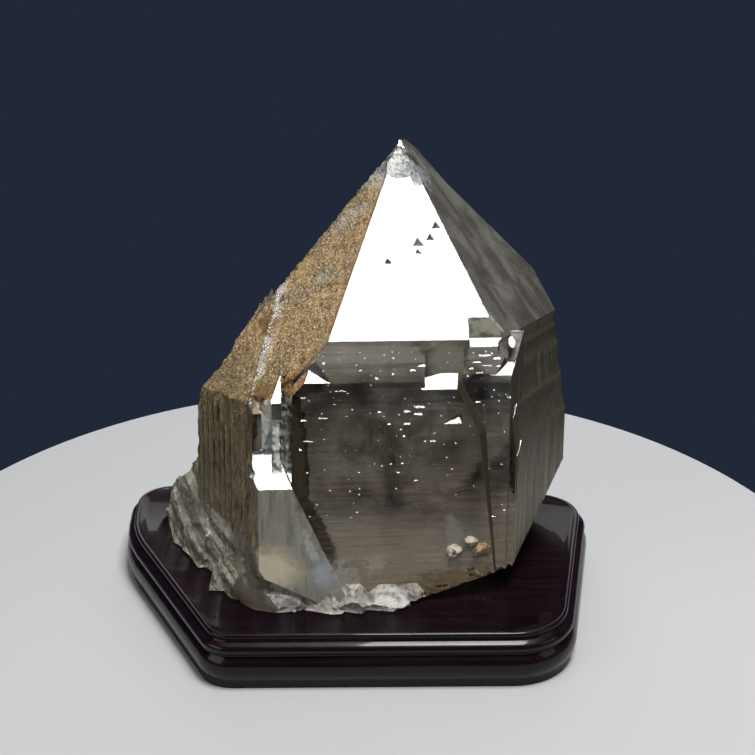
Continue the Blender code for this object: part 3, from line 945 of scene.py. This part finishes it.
@dataclass(frozen=True)
class Zone:
    """Faces of one kind: which way they look, how nearly and how far out, and where their middles lie."""

    finish: Finish
    looks: Pair = (0.0, 0.0)
    nearly: Pair = ANYWHERE
    out: Pair = ANYWHERE
    x: Pair = ANYWHERE
    y: Pair = ANYWHERE
    z: Pair = ANYWHERE
    foot_x: Pair = ANYWHERE
    foot_y: Pair = ANYWHERE

    def holds(self, spot: Vector, normal: Vector, foot: Vector) -> bool:
        """Whether a face is in the zone.

        Args:
            spot: The face's middle in the crystal's axes.
            normal: Its normal in the crystal's axes.
            foot: Its middle from the foot of the front face, in the object's directions.

        Returns:
            True if every measure of the face is within the zone's range.
        """
        towards = face_normal(*self.looks)
        measures = ((self.nearly, normal.dot(towards)), (self.out, spot.dot(towards)), (self.x, spot.x),
                    (self.y, spot.y), (self.z, spot.z), (self.foot_x, foot.x), (self.foot_y, foot.y))
        return all(low < value < high for (low, high), value in measures)


# The corner's clean triangle: its top and its left end; then how nearly a face has to be a tread
CORNER_CUT = -98.6
CORNER_LEFT = 40.0
TREAD_ONLY = 0.9985

# Where each kind of surface is: the first zone that holds counts, at the head, then at the foot or sides
HEAD_ZONES = (
    Zone(Finish.BROWN, (0.0, AXES.tread_slope), above(TREAD_ONLY), x=above(CORNER_LEFT), z=above(CORNER_CUT)),
    Zone(Finish.GLASS, (0.0, AXES.tread_slope), above(TREAD_ONLY)),
    Zone(Finish.BROWN, (50.0, 0.0), above(0.9), x=(10.0, 42.0), y=below(-66.0)),
    Zone(Finish.STAINED, (-60.0, AXES.tread_slope), above(0.995), z=above(-135.0)),
    Zone(Finish.SATIN, (60.0, AXES.tread_slope), above(0.995), z=above(-80.0)),
    Zone(Finish.CHIPPED, nearly=above(-0.25), z=above(-36.0)),
    Zone(Finish.GLITTER, (0.0, 45.0), above(0.999), z=above(-140.0)),
)
FOOT_ZONES = (
    Zone(Finish.MILKY, nearly=above(0.9995), y=(-75.4, -74.6)),
    Zone(Finish.WALL, nearly=above(0.985), x=(-46.0, 52.0)),
    Zone(Finish.FIBROUS, (60.0, 0.0), above(0.5), foot_x=above(10.0)),
    Zone(Finish.WEATHERED, nearly=below(-0.35)),
    Zone(Finish.PLATED, foot_x=below(-86.0)),
    Zone(Finish.PLATED, foot_x=below(0.0), foot_y=above(40.0)),
    Zone(Finish.LOBE, foot_x=below(-64.0)),
    Zone(Finish.ICY),
)
SIDE_ZONES = (
    Zone(Finish.BARK, x=below(-74.0), y=(-64.0, -50.0)),
    Zone(Finish.CHIPPED, nearly=(0.0, 0.9999), x=(-82.0, -56.0), z=(-156.0, -116.0)),
    Zone(Finish.MILKY, nearly=above(0.93), x=below(-56.0), y=below(-74.0), z=below(-150.0)),
    Zone(Finish.WEATHERED, nearly=below(-0.25)),
    Zone(Finish.WALL, nearly=above(0.93)),
    Zone(Finish.FIBROUS, x=above(45.0)),
    Zone(Finish.FIBROUS, (90.0, 0.0), above(0.6)),
    Zone(Finish.BARK, (-60.0, 0.0), above(0.9), out=above(95.5)),
    Zone(Finish.BARK, (-90.0, 0.0), above(0.6), x=below(-50.0)),
    Zone(Finish.WALL),
)


@dataclass(frozen=True)
class Step:
    """A small growth step in a front wall: where its lip is, its width and depth, and its back edge."""

    across: float
    along: float
    width: float
    depth: float
    taper: float = 0.7
    skew: float = 0.0


# Lips as seen on the plane of the front plate, in the crystal's axes
STEPS = tuple(Step(*sizes) for sizes in (
    (17.0, -126.5, 9.5, 3.4, 0.03, 4.6), (3.0, -99.0, 6.5, 0.8, 0.4), (-1.5, -101.0, 3.0, 0.7),
    (-18.0, -104.5, 1.8, 0.6), (-27.0, -98.0, 1.4, 0.4), (-25.5, -100.5, 2.2, 0.4),
    (-10.5, -102.5, 1.2, 0.5), (-42.0, -97.0, 2.0, 0.5), (-35.0, -110.0, 7.5, 0.25),
    (-51.5, -113.0, 3.4, 0.4), (-51.5, -124.0, 3.2, 0.7), (-42.5, -123.0, 5.2, 0.5),
    (-49.5, -134.0, 5.4, 0.4), (-52.5, -138.0, 2.0, 0.8, 0.3, -1.0), (-16.5, -120.5, 3.2, 0.9, 0.2),
    (-12.0, -126.5, 1.8, 0.7), (-3.5, -120.5, 3.8, 0.8), (2.5, -118.5, 5.2, 1.0),
    (1.5, -122.0, 4.8, 1.0), (-3.5, -126.5, 4.6, 0.9, 0.4), (-6.5, -129.0, 1.4, 0.5),
    (-5.0, -132.5, 1.4, 0.7), (8.5, -135.0, 3.2, 0.7), (5.0, -135.0, 1.4, 0.5),
    (-7.5, -150.0, 2.2, 0.5), (-5.5, -145.5, 1.6, 0.5), (1.0, -154.0, 2.0, 0.4),
    (38.5, -173.0, 2.2, 0.4), (43.5, -170.0, 1.4, 0.4), (45.0, -162.0, 1.6, 0.5),
    (29.5, -116.5, 3.6, 0.5), (44.0, -114.5, 2.4, 0.6), (32.5, -110.5, 1.2, 0.4),
    (31.5, -94.5, 7.0, 0.7), (37.5, -96.0, 5.4, 0.8, 0.4), (28.0, -97.5, 4.6, 0.5),
    (25.5, -100.5, 2.0, 0.6), (33.0, -99.0, 5.0, 0.35), (29.5, -102.5, 4.4, 0.35),
    (24.0, -104.0, 1.2, 0.7), (38.5, -99.5, 3.0, 0.4),
))


@dataclass
class QuartzPoint:
    """The crystal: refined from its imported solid."""

    node: bpy.types.Object
    rng: random.Random = field(default_factory=lambda: random.Random(11))
    piece: bpy.types.Object = field(init=False)
    rows: list[float] = field(init=False)
    stand_top: float = 26.0
    base_top: float = 30.0
    sunk_edge: float = 0.8
    foot: Triple = (27.752, -50.241, 26.0)
    grains: tuple[Triple, ...] = ((20.2, -71.4, -189.9), (28.1, -71.6, -185.2), (33.3, -71.4, -189.7))
    grain_reach: float = 5.5
    grain_clear: float = 0.998
    grain_right: float = 0.7
    plate_lip: Pair = (-74.5, -106.2)
    plate_lean: float = 2.0
    front_only: float = 0.92

    cutter_proud: float = 0.6
    view_slope: float = 33.0
    stray_steps: int = 230
    stray_gap: float = 2.2
    stray_across: Pair = (-50.0, 44.0)
    stray_top: float = -92.0
    stray_drop: float = 80.0
    stray_crowding: float = 1.7
    stray_width: Pair = (0.4, 1.2)
    stray_depth: Pair = (0.2, 0.4)
    stray_taper: float = 0.6

    tooth_span: Pair = (6.0, 47.0)
    tooth_size: Pair = (0.9, 2.3)
    tooth_gap: Pair = (0.7, 1.3)
    tooth_lift: Pair = (-0.7, 0.2)
    tooth_inset: float = 0.3
    scan_span: Pair = (-192.0, -220.0)
    scan_pitch: float = 0.25

    stria_span: Pair = (-98.0, -222.0)
    stria_gap: Pair = (0.9, 2.6)
    stria_depth: float = 0.13
    stria_fade: Pair = (-105.0, 60.0)
    stria_least: float = 0.25
    stria_draw: float = 9.0
    row_reach: float = 0.02
    beside_flat: float = 0.4
    lobe_passes: int = 30
    knob_place: Triple = (46.2, -64.6, -90.0)
    knob_size: Triple = (1.6, 3.0, 5.0)
    knob_reach: float = 3.2
    knob_sides: int = 28
    smooth_angle: float = 22.0

    def build(self) -> bpy.types.Object:
        """Make the finished crystal.

        Returns:
            The crystal's object.
        """
        self.piece = copy_node(self.node, "quartz_point")
        self.add_knob()
        self.cut_steps()
        self.cut_teeth()
        self.flatten()
        self.part_corner()
        self.mark_faces()
        for kinds, families in GRIDS:
            self.cut_grid(kinds, families)
        self.cut_striae()
        self.round_lobes()
        self.roughen()
        self.mark_corners()
        self.finish_mesh()
        self.piece.data.materials.append(SmokyQuartz().make())
        return self.piece

    def combine(self, name: str, other: bpy.types.Object, operation: str) -> None:
        """Join a shape to the crystal or take it out, and delete the shape.

        Args:
            name: Name of the modifier that does it.
            other: The shape.
            operation: UNION or DIFFERENCE.
        """
        make_active(self.piece)
        cut = self.piece.modifiers.new(name, "BOOLEAN")
        cut.operation = operation
        cut.solver = "EXACT"
        cut.use_self = operation == "DIFFERENCE"
        cut.object = other
        bpy.ops.object.modifier_apply(modifier=cut.name)
        bpy.data.objects.remove(other)

    def add_knob(self) -> None:
        """Join the small oval knob in the hollow at the stair's right end."""
        deselect()
        bpy.ops.mesh.primitive_cylinder_add(vertices=self.knob_sides, radius=MM, depth=MM)
        knob = bpy.context.active_object
        down = TREAD.cross(ACROSS)
        for vert in knob.data.vertices:
            flat = Vector(vert.co) / MM
            spot = ACROSS * flat.x * self.knob_size[0] + down * flat.y * self.knob_size[1]
            vert.co = AXES.place(Vector(self.knob_place) + spot + TREAD * (flat.z - 0.5) * self.knob_size[2])
        self.combine("knob", knob, "UNION")

    def seen(self, across: float, along: float) -> Vector | None:
        """The spot of a front wall behind a place on the plane of the front plate.

        Args:
            across: The place along the crystal's x axis.
            along: The place along its z axis.

        Returns:
            The spot in the crystal's axes, or None where no front wall is there.
        """
        lean = math.tan(math.radians(self.plate_lean))
        target = AXES.place((across, self.plate_lip[0] + (self.plate_lip[1] - along) * lean, along))
        eye = Vector(VIEWPOINT) * MM
        hit, spot, normal, _ = self.piece.ray_cast(eye, (target - eye).normalized())
        if not hit or AXES.turned(normal).dot(FRONT) < self.front_only:
            return None
        return AXES.spot(spot)

    def wedge(self, lip: Vector, step: Step) -> bpy.types.Object:
        """One cutter: a three-sided bar whose floor lies along the front tread.

        Args:
            lip: Where the step's lip meets the wall, in the crystal's axes.
            step: Its sizes.

        Returns:
            The cutter's object.
        """
        deselect()
        bpy.ops.mesh.primitive_cylinder_add(vertices=3, radius=MM, depth=MM)
        bar = bpy.context.active_object
        slope = math.tan(math.radians(AXES.tread_slope))
        proud = self.cutter_proud
        rise = step.depth / slope
        roof = rise + (step.depth + proud) * math.tan(math.radians(self.view_slope))
        mouth = (Vector((0.0, -proud, -proud / slope)), step.width)
        inner = (Vector((step.skew, step.depth, rise)), step.width * step.taper)
        upper = (Vector((step.skew, -proud, roof)), step.width * step.taper)
        turns = [round(math.atan2(vert.co.y, vert.co.x), 3) for vert in bar.data.vertices]
        order = sorted(set(turns))
        for vert, turn in zip(bar.data.vertices, turns):
            offset, width = (mouth, inner, upper)[order.index(turn)]
            side = math.copysign(0.5, vert.co.z)
            vert.co = AXES.place(lip + offset + ACROSS * side * width)
        with editing(bar):
            bpy.ops.mesh.normals_make_consistent(inside=False)
        return bar

    def stray(self) -> list[Step]:
        """Scattered specks of the same steps, most of them high on the wall.

        Returns:
            The specks, which follow from the seed.
        """
        found = []
        for _ in range(self.stray_steps):
            across = self.rng.uniform(*self.stray_across)
            along = self.stray_top - self.stray_drop * self.rng.random() ** self.stray_crowding
            width = self.rng.uniform(*self.stray_width)
            found.append(Step(across, along, width, self.rng.uniform(*self.stray_depth), self.stray_taper))
        return found

    def cut_steps(self) -> None:
        """Cut the growth steps into the front wall, each where its lip meets the stone."""
        bars = []
        taken: list[Vector] = []
        for step in (*STEPS, *self.stray()):
            lip = self.seen(step.across, step.along)
            if lip is None:
                continue
            if step not in STEPS and any((lip - other).length < self.stray_gap for other in taken):
                continue
            taken.append(lip)
            bars.append(self.wedge(lip, step))
        LOG.info("growth steps: %d", len(bars))
        self.combine("growth_steps", joined(bars), "DIFFERENCE")

    def cut_teeth(self) -> None:
        """Break small chips out of the front plate's lower edge, which leaves it toothed."""
        chips = []
        across = self.tooth_span[0]
        while across < self.tooth_span[1]:
            edge = self.lower_edge(across)
            size = self.rng.uniform(*self.tooth_size)
            if edge is not None:
                offset = Vector((0.0, self.tooth_inset, self.rng.uniform(*self.tooth_lift)))
                middle = AXES.place(edge + offset)
                turn = tuple(self.rng.uniform(0.0, math.tau) for _ in range(3))
                deselect()
                bpy.ops.mesh.primitive_cube_add(size=size * MM, location=middle, rotation=turn)
                chips.append(bpy.context.active_object)
            across += size * self.rng.uniform(*self.tooth_gap)
        self.combine("teeth", joined(chips), "DIFFERENCE")

    def lower_edge(self, across: float) -> Vector | None:
        """The lowest spot of the front plate at a place along its width.

        Args:
            across: The place along the crystal's x axis.

        Returns:
            The spot in the crystal's axes, or None where there is no plate.
        """
        along, lowest = self.scan_span
        spot = last = self.seen(across, along)
        while spot is not None and along > lowest:
            last = spot
            along -= self.scan_pitch
            spot = self.seen(across, along)
        return last

    def flatten(self) -> None:
        """Turn the copied triangles into whole flat faces, parted at the top of the foot."""
        with editing(self.piece):
            bpy.ops.mesh.remove_doubles(threshold=MERGE_GAP / 2.0 * MM)
            bpy.ops.mesh.dissolve_limited(angle_limit=FLAT_ANGLE)
            bpy.ops.mesh.select_all(action="SELECT")
            bpy.ops.mesh.bisect(plane_co=(0.0, 0.0, (self.stand_top + self.base_top) * MM), plane_no=UP)

    def part_corner(self) -> None:
        """Part the corner's tread at the top of its clean triangle."""
        with editing(self.piece):
            bpy.ops.mesh.select_mode(type="FACE")
            bpy.ops.mesh.select_all(action="DESELECT")
            mesh = bmesh.from_edit_mesh(self.piece.data)
            for face in mesh.faces:
                right = AXES.spot(face.calc_center_median()).x > CORNER_LEFT
                face.select_set(right and AXES.turned(face.normal).dot(TREAD) > TREAD_ONLY)
            bmesh.update_edit_mesh(self.piece.data)
            bpy.ops.mesh.bisect(plane_co=AXES.place(UP * CORNER_CUT), plane_no=AXES.rotation() @ UP)

    def finish_of(self, spot: Vector, normal: Vector, foot: Vector) -> Finish:
        """Kind of surface of one face.

        Args:
            spot: The face's middle in the crystal's axes.
            normal: Its normal in the crystal's axes.
            foot: Its middle from the foot of the front face, in the object's directions.

        Returns:
            The kind.
        """
        near_grain = any((spot - Vector(grain)).length < self.grain_reach for grain in self.grains)
        on_plate = normal.dot(face_normal(0.0, -self.plate_lean)) >= self.grain_clear
        if near_grain and not on_plate and normal.x < self.grain_right:
            return Finish.GRAIN
        if (spot - Vector(self.knob_place)).length < self.knob_reach and normal.dot(TREAD) > TREAD_ONLY:
            return Finish.GLASS
        zones = (*HEAD_ZONES, *(FOOT_ZONES if foot.z < self.base_top else SIDE_ZONES))
        return next(zone.finish for zone in zones if zone.holds(spot, normal, foot))

    def mark_faces(self) -> None:
        """Store the kind of surface on each whole face, so that its pieces keep it."""
        mesh = self.piece.data
        layer = mesh.attributes.new("finish", "INT", "FACE")
        for polygon in mesh.polygons:
            foot = Vector(polygon.center) / MM - Vector(self.foot)
            kind = self.finish_of(AXES.spot(polygon.center), AXES.turned(polygon.normal), foot)
            layer.data[polygon.index].value = kind.value

    def select_kinds(self, kinds: Iterable[Finish]) -> np.ndarray:
        """Select the faces of some kinds in edit mode.

        Args:
            kinds: The kinds of surface to select.

        Returns:
            Their corners in the crystal's axes.
        """
        wanted = {kind.value for kind in kinds}
        bpy.ops.mesh.select_mode(type="FACE")
        bpy.ops.mesh.select_all(action="DESELECT")
        mesh = bmesh.from_edit_mesh(self.piece.data)
        layer = mesh.faces.layers.int["finish"]
        spots = []
        for face in mesh.faces:
            if face[layer] in wanted:
                face.select_set(True)
                spots += [vert.co.copy() for vert in face.verts]
        bmesh.update_edit_mesh(self.piece.data)
        return AXES.inside(np.array(spots))

    def cut_rows(self, kinds: Iterable[Finish], families: Sequence[tuple[Vector, Sequence[float]]]) -> None:
        """Cut the faces of some kinds by rows of planes.

        Args:
            kinds: The kinds of surface to cut.
            families: Normals of the cuts in the crystal's axes, and the places of the cuts along them.
        """
        with editing(self.piece):
            self.select_kinds(kinds)
            bpy.ops.mesh.hide(unselected=True)
            for direction, places in families:
                turned = AXES.rotation() @ direction
                for distance in places:
                    bpy.ops.mesh.select_all(action="SELECT")
                    bpy.ops.mesh.bisect(plane_co=AXES.place(direction * distance), plane_no=turned)
            bpy.ops.mesh.reveal(select=False)

    def cut_grid(self, kinds: Iterable[Finish], families: Sequence[tuple[Vector, float]]) -> None:
        """Cut the faces of some kinds into small cells.

        Args:
            kinds: The kinds of surface to cut.
            families: Normals of the cuts in the crystal's axes, and millimetres between the cuts.
        """
        with editing(self.piece):
            spots = self.select_kinds(kinds)
        rows = []
        for direction, pitch in families:
            reach = spots @ np.array(direction)
            numbers = range(math.ceil(reach.min() / pitch), math.floor(reach.max() / pitch) + 1)
            rows.append((direction, [number * pitch for number in numbers]))
        self.cut_rows(kinds, rows)

    def cut_striae(self) -> None:
        """Cut the prism walls into uneven rows, the growth lines that run round them."""
        self.rows = []
        height, lowest = self.stria_span
        while height > lowest:
            height -= self.rng.uniform(*self.stria_gap)
            self.rows.append(height)
        self.cut_rows(STRIATED, [(UP, self.rows)])

    def round_lobes(self) -> None:
        """Relax the points inside the smooth lobes, so that their coarse facets turn into one swell."""
        mesh = bmesh.new()
        mesh.from_mesh(self.piece.data)
        layer = mesh.faces.layers.int["finish"]
        inner = [vert for vert in mesh.verts
                 if all(face[layer] == Finish.LOBE.value for face in vert.link_faces)]
        for _ in range(self.lobe_passes):
            bmesh.ops.smooth_vert(mesh, verts=inner, factor=0.5, use_axis_x=True, use_axis_y=True,
                                  use_axis_z=True)
        mesh.to_mesh(self.piece.data)
        mesh.free()

    def stria(self, spot: Vector) -> float:
        """Depth of the growth line at a spot of a wall.

        Args:
            spot: The spot in the crystal's axes.

        Returns:
            The depth, 0 between the lines.
        """
        if min(abs(spot.z - row) for row in self.rows) >= self.row_reach:
            return 0.0
        start, length = self.stria_fade
        strength = min(1.0, max(self.stria_least, (start - spot.z) / length))
        level = noise.cell(Vector((spot.z * self.stria_draw, 0.0, 0.0)))
        return self.stria_depth * strength * (0.5 + 0.5 * level)

    def roughen(self) -> None:
        """Push the points of the rough faces in, facet by facet, and the growth lines row by row."""
        mesh = bmesh.new()
        mesh.from_mesh(self.piece.data)
        layer = mesh.faces.layers.int["finish"]
        kinds = [{Finish(face[layer]) for face in vert.link_faces} for vert in mesh.verts]
        flat = [bool(found & FLAT) for found in kinds]
        moves = []
        for vert, found in zip(mesh.verts, kinds):
            if vert.co.z < (self.stand_top + self.sunk_edge) * MM:
                continue
            spot = AXES.spot(vert.co)
            if not flat[vert.index]:
                beside = any(flat[edge.other_vert(vert).index] for edge in vert.link_edges)
                facets = RELIEFS[Finish(vert.link_faces[0][layer])]
                deep = sum(facet.depth(spot) for facet in facets) * (self.beside_flat if beside else 1.0)
            else:
                deep = self.stria(spot) if found <= STRIATED else 0.0
            moves.append((vert, vert.co - vert.normal * deep * MM))
        for vert, place in moves:
            vert.co = place
        mesh.to_mesh(self.piece.data)
        mesh.free()

    def mark_corners(self) -> None:
        """Store each kind of surface as numbers at the faces' corners."""
        mesh = self.piece.data
        kinds = np.zeros(len(mesh.polygons), dtype=np.int32)
        mesh.attributes["finish"].data.foreach_get("value", kinds)
        counts = np.zeros(len(mesh.polygons), dtype=np.int32)
        mesh.polygons.foreach_get("loop_total", counts)
        corner_kinds = np.repeat(kinds, counts)
        for kind in Finish:
            mark = (corner_kinds == kind.value).astype(np.float32)
            mesh.attributes.new(kind.name.lower(), "FLOAT", "CORNER").data.foreach_set("value", mark)
            LOG.info("%s: %d faces", kind.name.lower(), int((kinds == kind.value).sum()))

    def finish_mesh(self) -> None:
        """Triangulate the crystal, smooth its rough faces and keep its flat ones flat."""
        with editing(self.piece):
            bpy.ops.mesh.quads_convert_to_tris(quad_method="BEAUTY", ngon_method="BEAUTY")
        bpy.ops.object.shade_smooth_by_angle(angle=math.radians(self.smooth_angle))
        with editing(self.piece):
            self.select_kinds(FLAT)
            bpy.ops.mesh.faces_shade_flat()
        self.piece.data.attributes.remove(self.piece.data.attributes["finish"])


@dataclass
class DisplayStand:
    """The wooden stand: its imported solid, smoothed."""

    node: bpy.types.Object
    smooth_angle: float = 50.0

    def build(self) -> bpy.types.Object:
        """Make the finished stand.

        Returns:
            The stand's object.
        """
        piece = copy_node(self.node, "display_stand")
        with editing(piece):
            bpy.ops.mesh.dissolve_limited(angle_limit=FLAT_ANGLE)
        bpy.ops.object.shade_smooth_by_angle(angle=math.radians(self.smooth_angle))
        piece.data.materials.append(LacqueredWood().make())
        return piece


@dataclass(frozen=True)
class Panel:
    """A rectangular light: its place, size and focus in metres, and its power in watts."""

    name: str
    place: Triple
    size: Pair
    power: float
    focus: Triple | None = None

    def add(self, middle: Vector) -> None:
        """Add the light.

        Args:
            middle: What it faces if it has no focus of its own.
        """
        data = bpy.data.lights.new(self.name, "AREA")
        data.shape = "RECTANGLE"
        data.size, data.size_y = self.size
        data.energy = self.power
        light = bpy.data.objects.new(self.name, data)
        bpy.context.scene.collection.objects.link(light)
        light.location = self.place
        focus = middle if self.focus is None else Vector(self.focus)
        light.rotation_euler = (focus - light.location).to_track_quat("-Z", "Y").to_euler()


@dataclass
class Studio:
    """Pale floor, plain backdrop, soft lights and the camera."""

    floor_radius: float = 260.0
    floor_depth: float = 12.0
    floor_sides: int = 128
    floor_tone: Triple = (0.46, 0.462, 0.465)
    floor_roughness: float = 0.7
    backdrop: Triple = (0.0150, 0.0215, 0.0385)
    crystal_middle: Triple = (0.0, -40.0, -60.0)
    camera_pitch: float = 23.21
    focal_pixels: float = 1300.0
    frame_pixels: float = 755.0
    sensor: float = 36.0
    nearest: float = 10.0
    panels: tuple[Panel, ...] = (
        Panel("overhead", (0.268, -0.340, 1.5), (0.52, 0.66), 27.0, (0.268, -0.340, 0.0)),
        Panel("ceiling", (0.0, 0.2, 2.4), (2.4, 2.4), 9.0, (0.0, 0.0, 0.0)),
        Panel("left_fill", (-1.3, -0.9, 0.9), (1.2, 1.0), 6.0),
        Panel("right_fill", (1.5, -0.6, 0.8), (0.8, 0.8), 1.6),
        Panel("rear", (0.0, 1.5, 1.0), (1.8, 0.9), 8.0),
    )

    def build(self) -> None:
        """Set up everything around the object."""
        self.add_floor()
        self.add_world()
        self.add_camera()
        for panel in self.panels:
            panel.add(AXES.place(self.crystal_middle))

    def add_floor(self) -> None:
        """A pale round table top."""
        deselect()
        middle = (0.0, 0.0, -self.floor_depth / 2.0 * MM)
        bpy.ops.mesh.primitive_cylinder_add(vertices=self.floor_sides, radius=self.floor_radius * MM,
                                            depth=self.floor_depth * MM, location=middle)
        floor = bpy.context.active_object
        floor.name = "floor"
        bpy.ops.object.transform_apply(location=True, rotation=True, scale=True)
        graph = Graph("pale_floor")
        graph.surface({"Base Color": self.floor_tone, "Roughness": self.floor_roughness})
        floor.data.materials.append(graph.material)

    def add_world(self) -> None:
        """A plain dark slate backdrop."""
        world = bpy.data.worlds.new("backdrop")
        bpy.context.scene.world = world
        world.use_nodes = True
        background = world.node_tree.nodes["Background"]
        background.inputs["Color"].default_value = (*self.backdrop, 1.0)
        background.inputs["Strength"].default_value = 1.0

    def add_camera(self) -> None:
        """The camera, at the viewing angle of the reference."""
        data = bpy.data.cameras.new("camera")
        data.sensor_width = self.sensor
        data.lens = self.sensor * self.focal_pixels / self.frame_pixels
        data.clip_start = self.nearest * MM
        camera = bpy.data.objects.new("camera", data)
        bpy.context.scene.collection.objects.link(camera)
        camera.location = Vector(VIEWPOINT) * MM
        camera.rotation_euler = (math.radians(90.0 - self.camera_pitch), 0.0, 0.0)
        bpy.context.scene.camera = camera


def main() -> None:
    """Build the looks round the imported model."""
    logging.basicConfig(level=logging.INFO, format="%(name)s: %(message)s")
    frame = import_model()
    deselect()
    bpy.context.scene.view_settings.view_transform = "Standard"
    nodes = frame["nodes"]
    crystal = QuartzPoint(nodes["crystal"]).build()
    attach(crystal, "root")
    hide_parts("crystal")
    LOG.info("quartz_point: %d triangles", len(crystal.data.polygons))
    stand = DisplayStand(nodes["stand"]).build()
    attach(stand, "root")
    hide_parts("stand")
    LOG.info("display_stand: %d faces", len(stand.data.polygons))
    Studio().build()


if __name__ == "__main__":
    main()
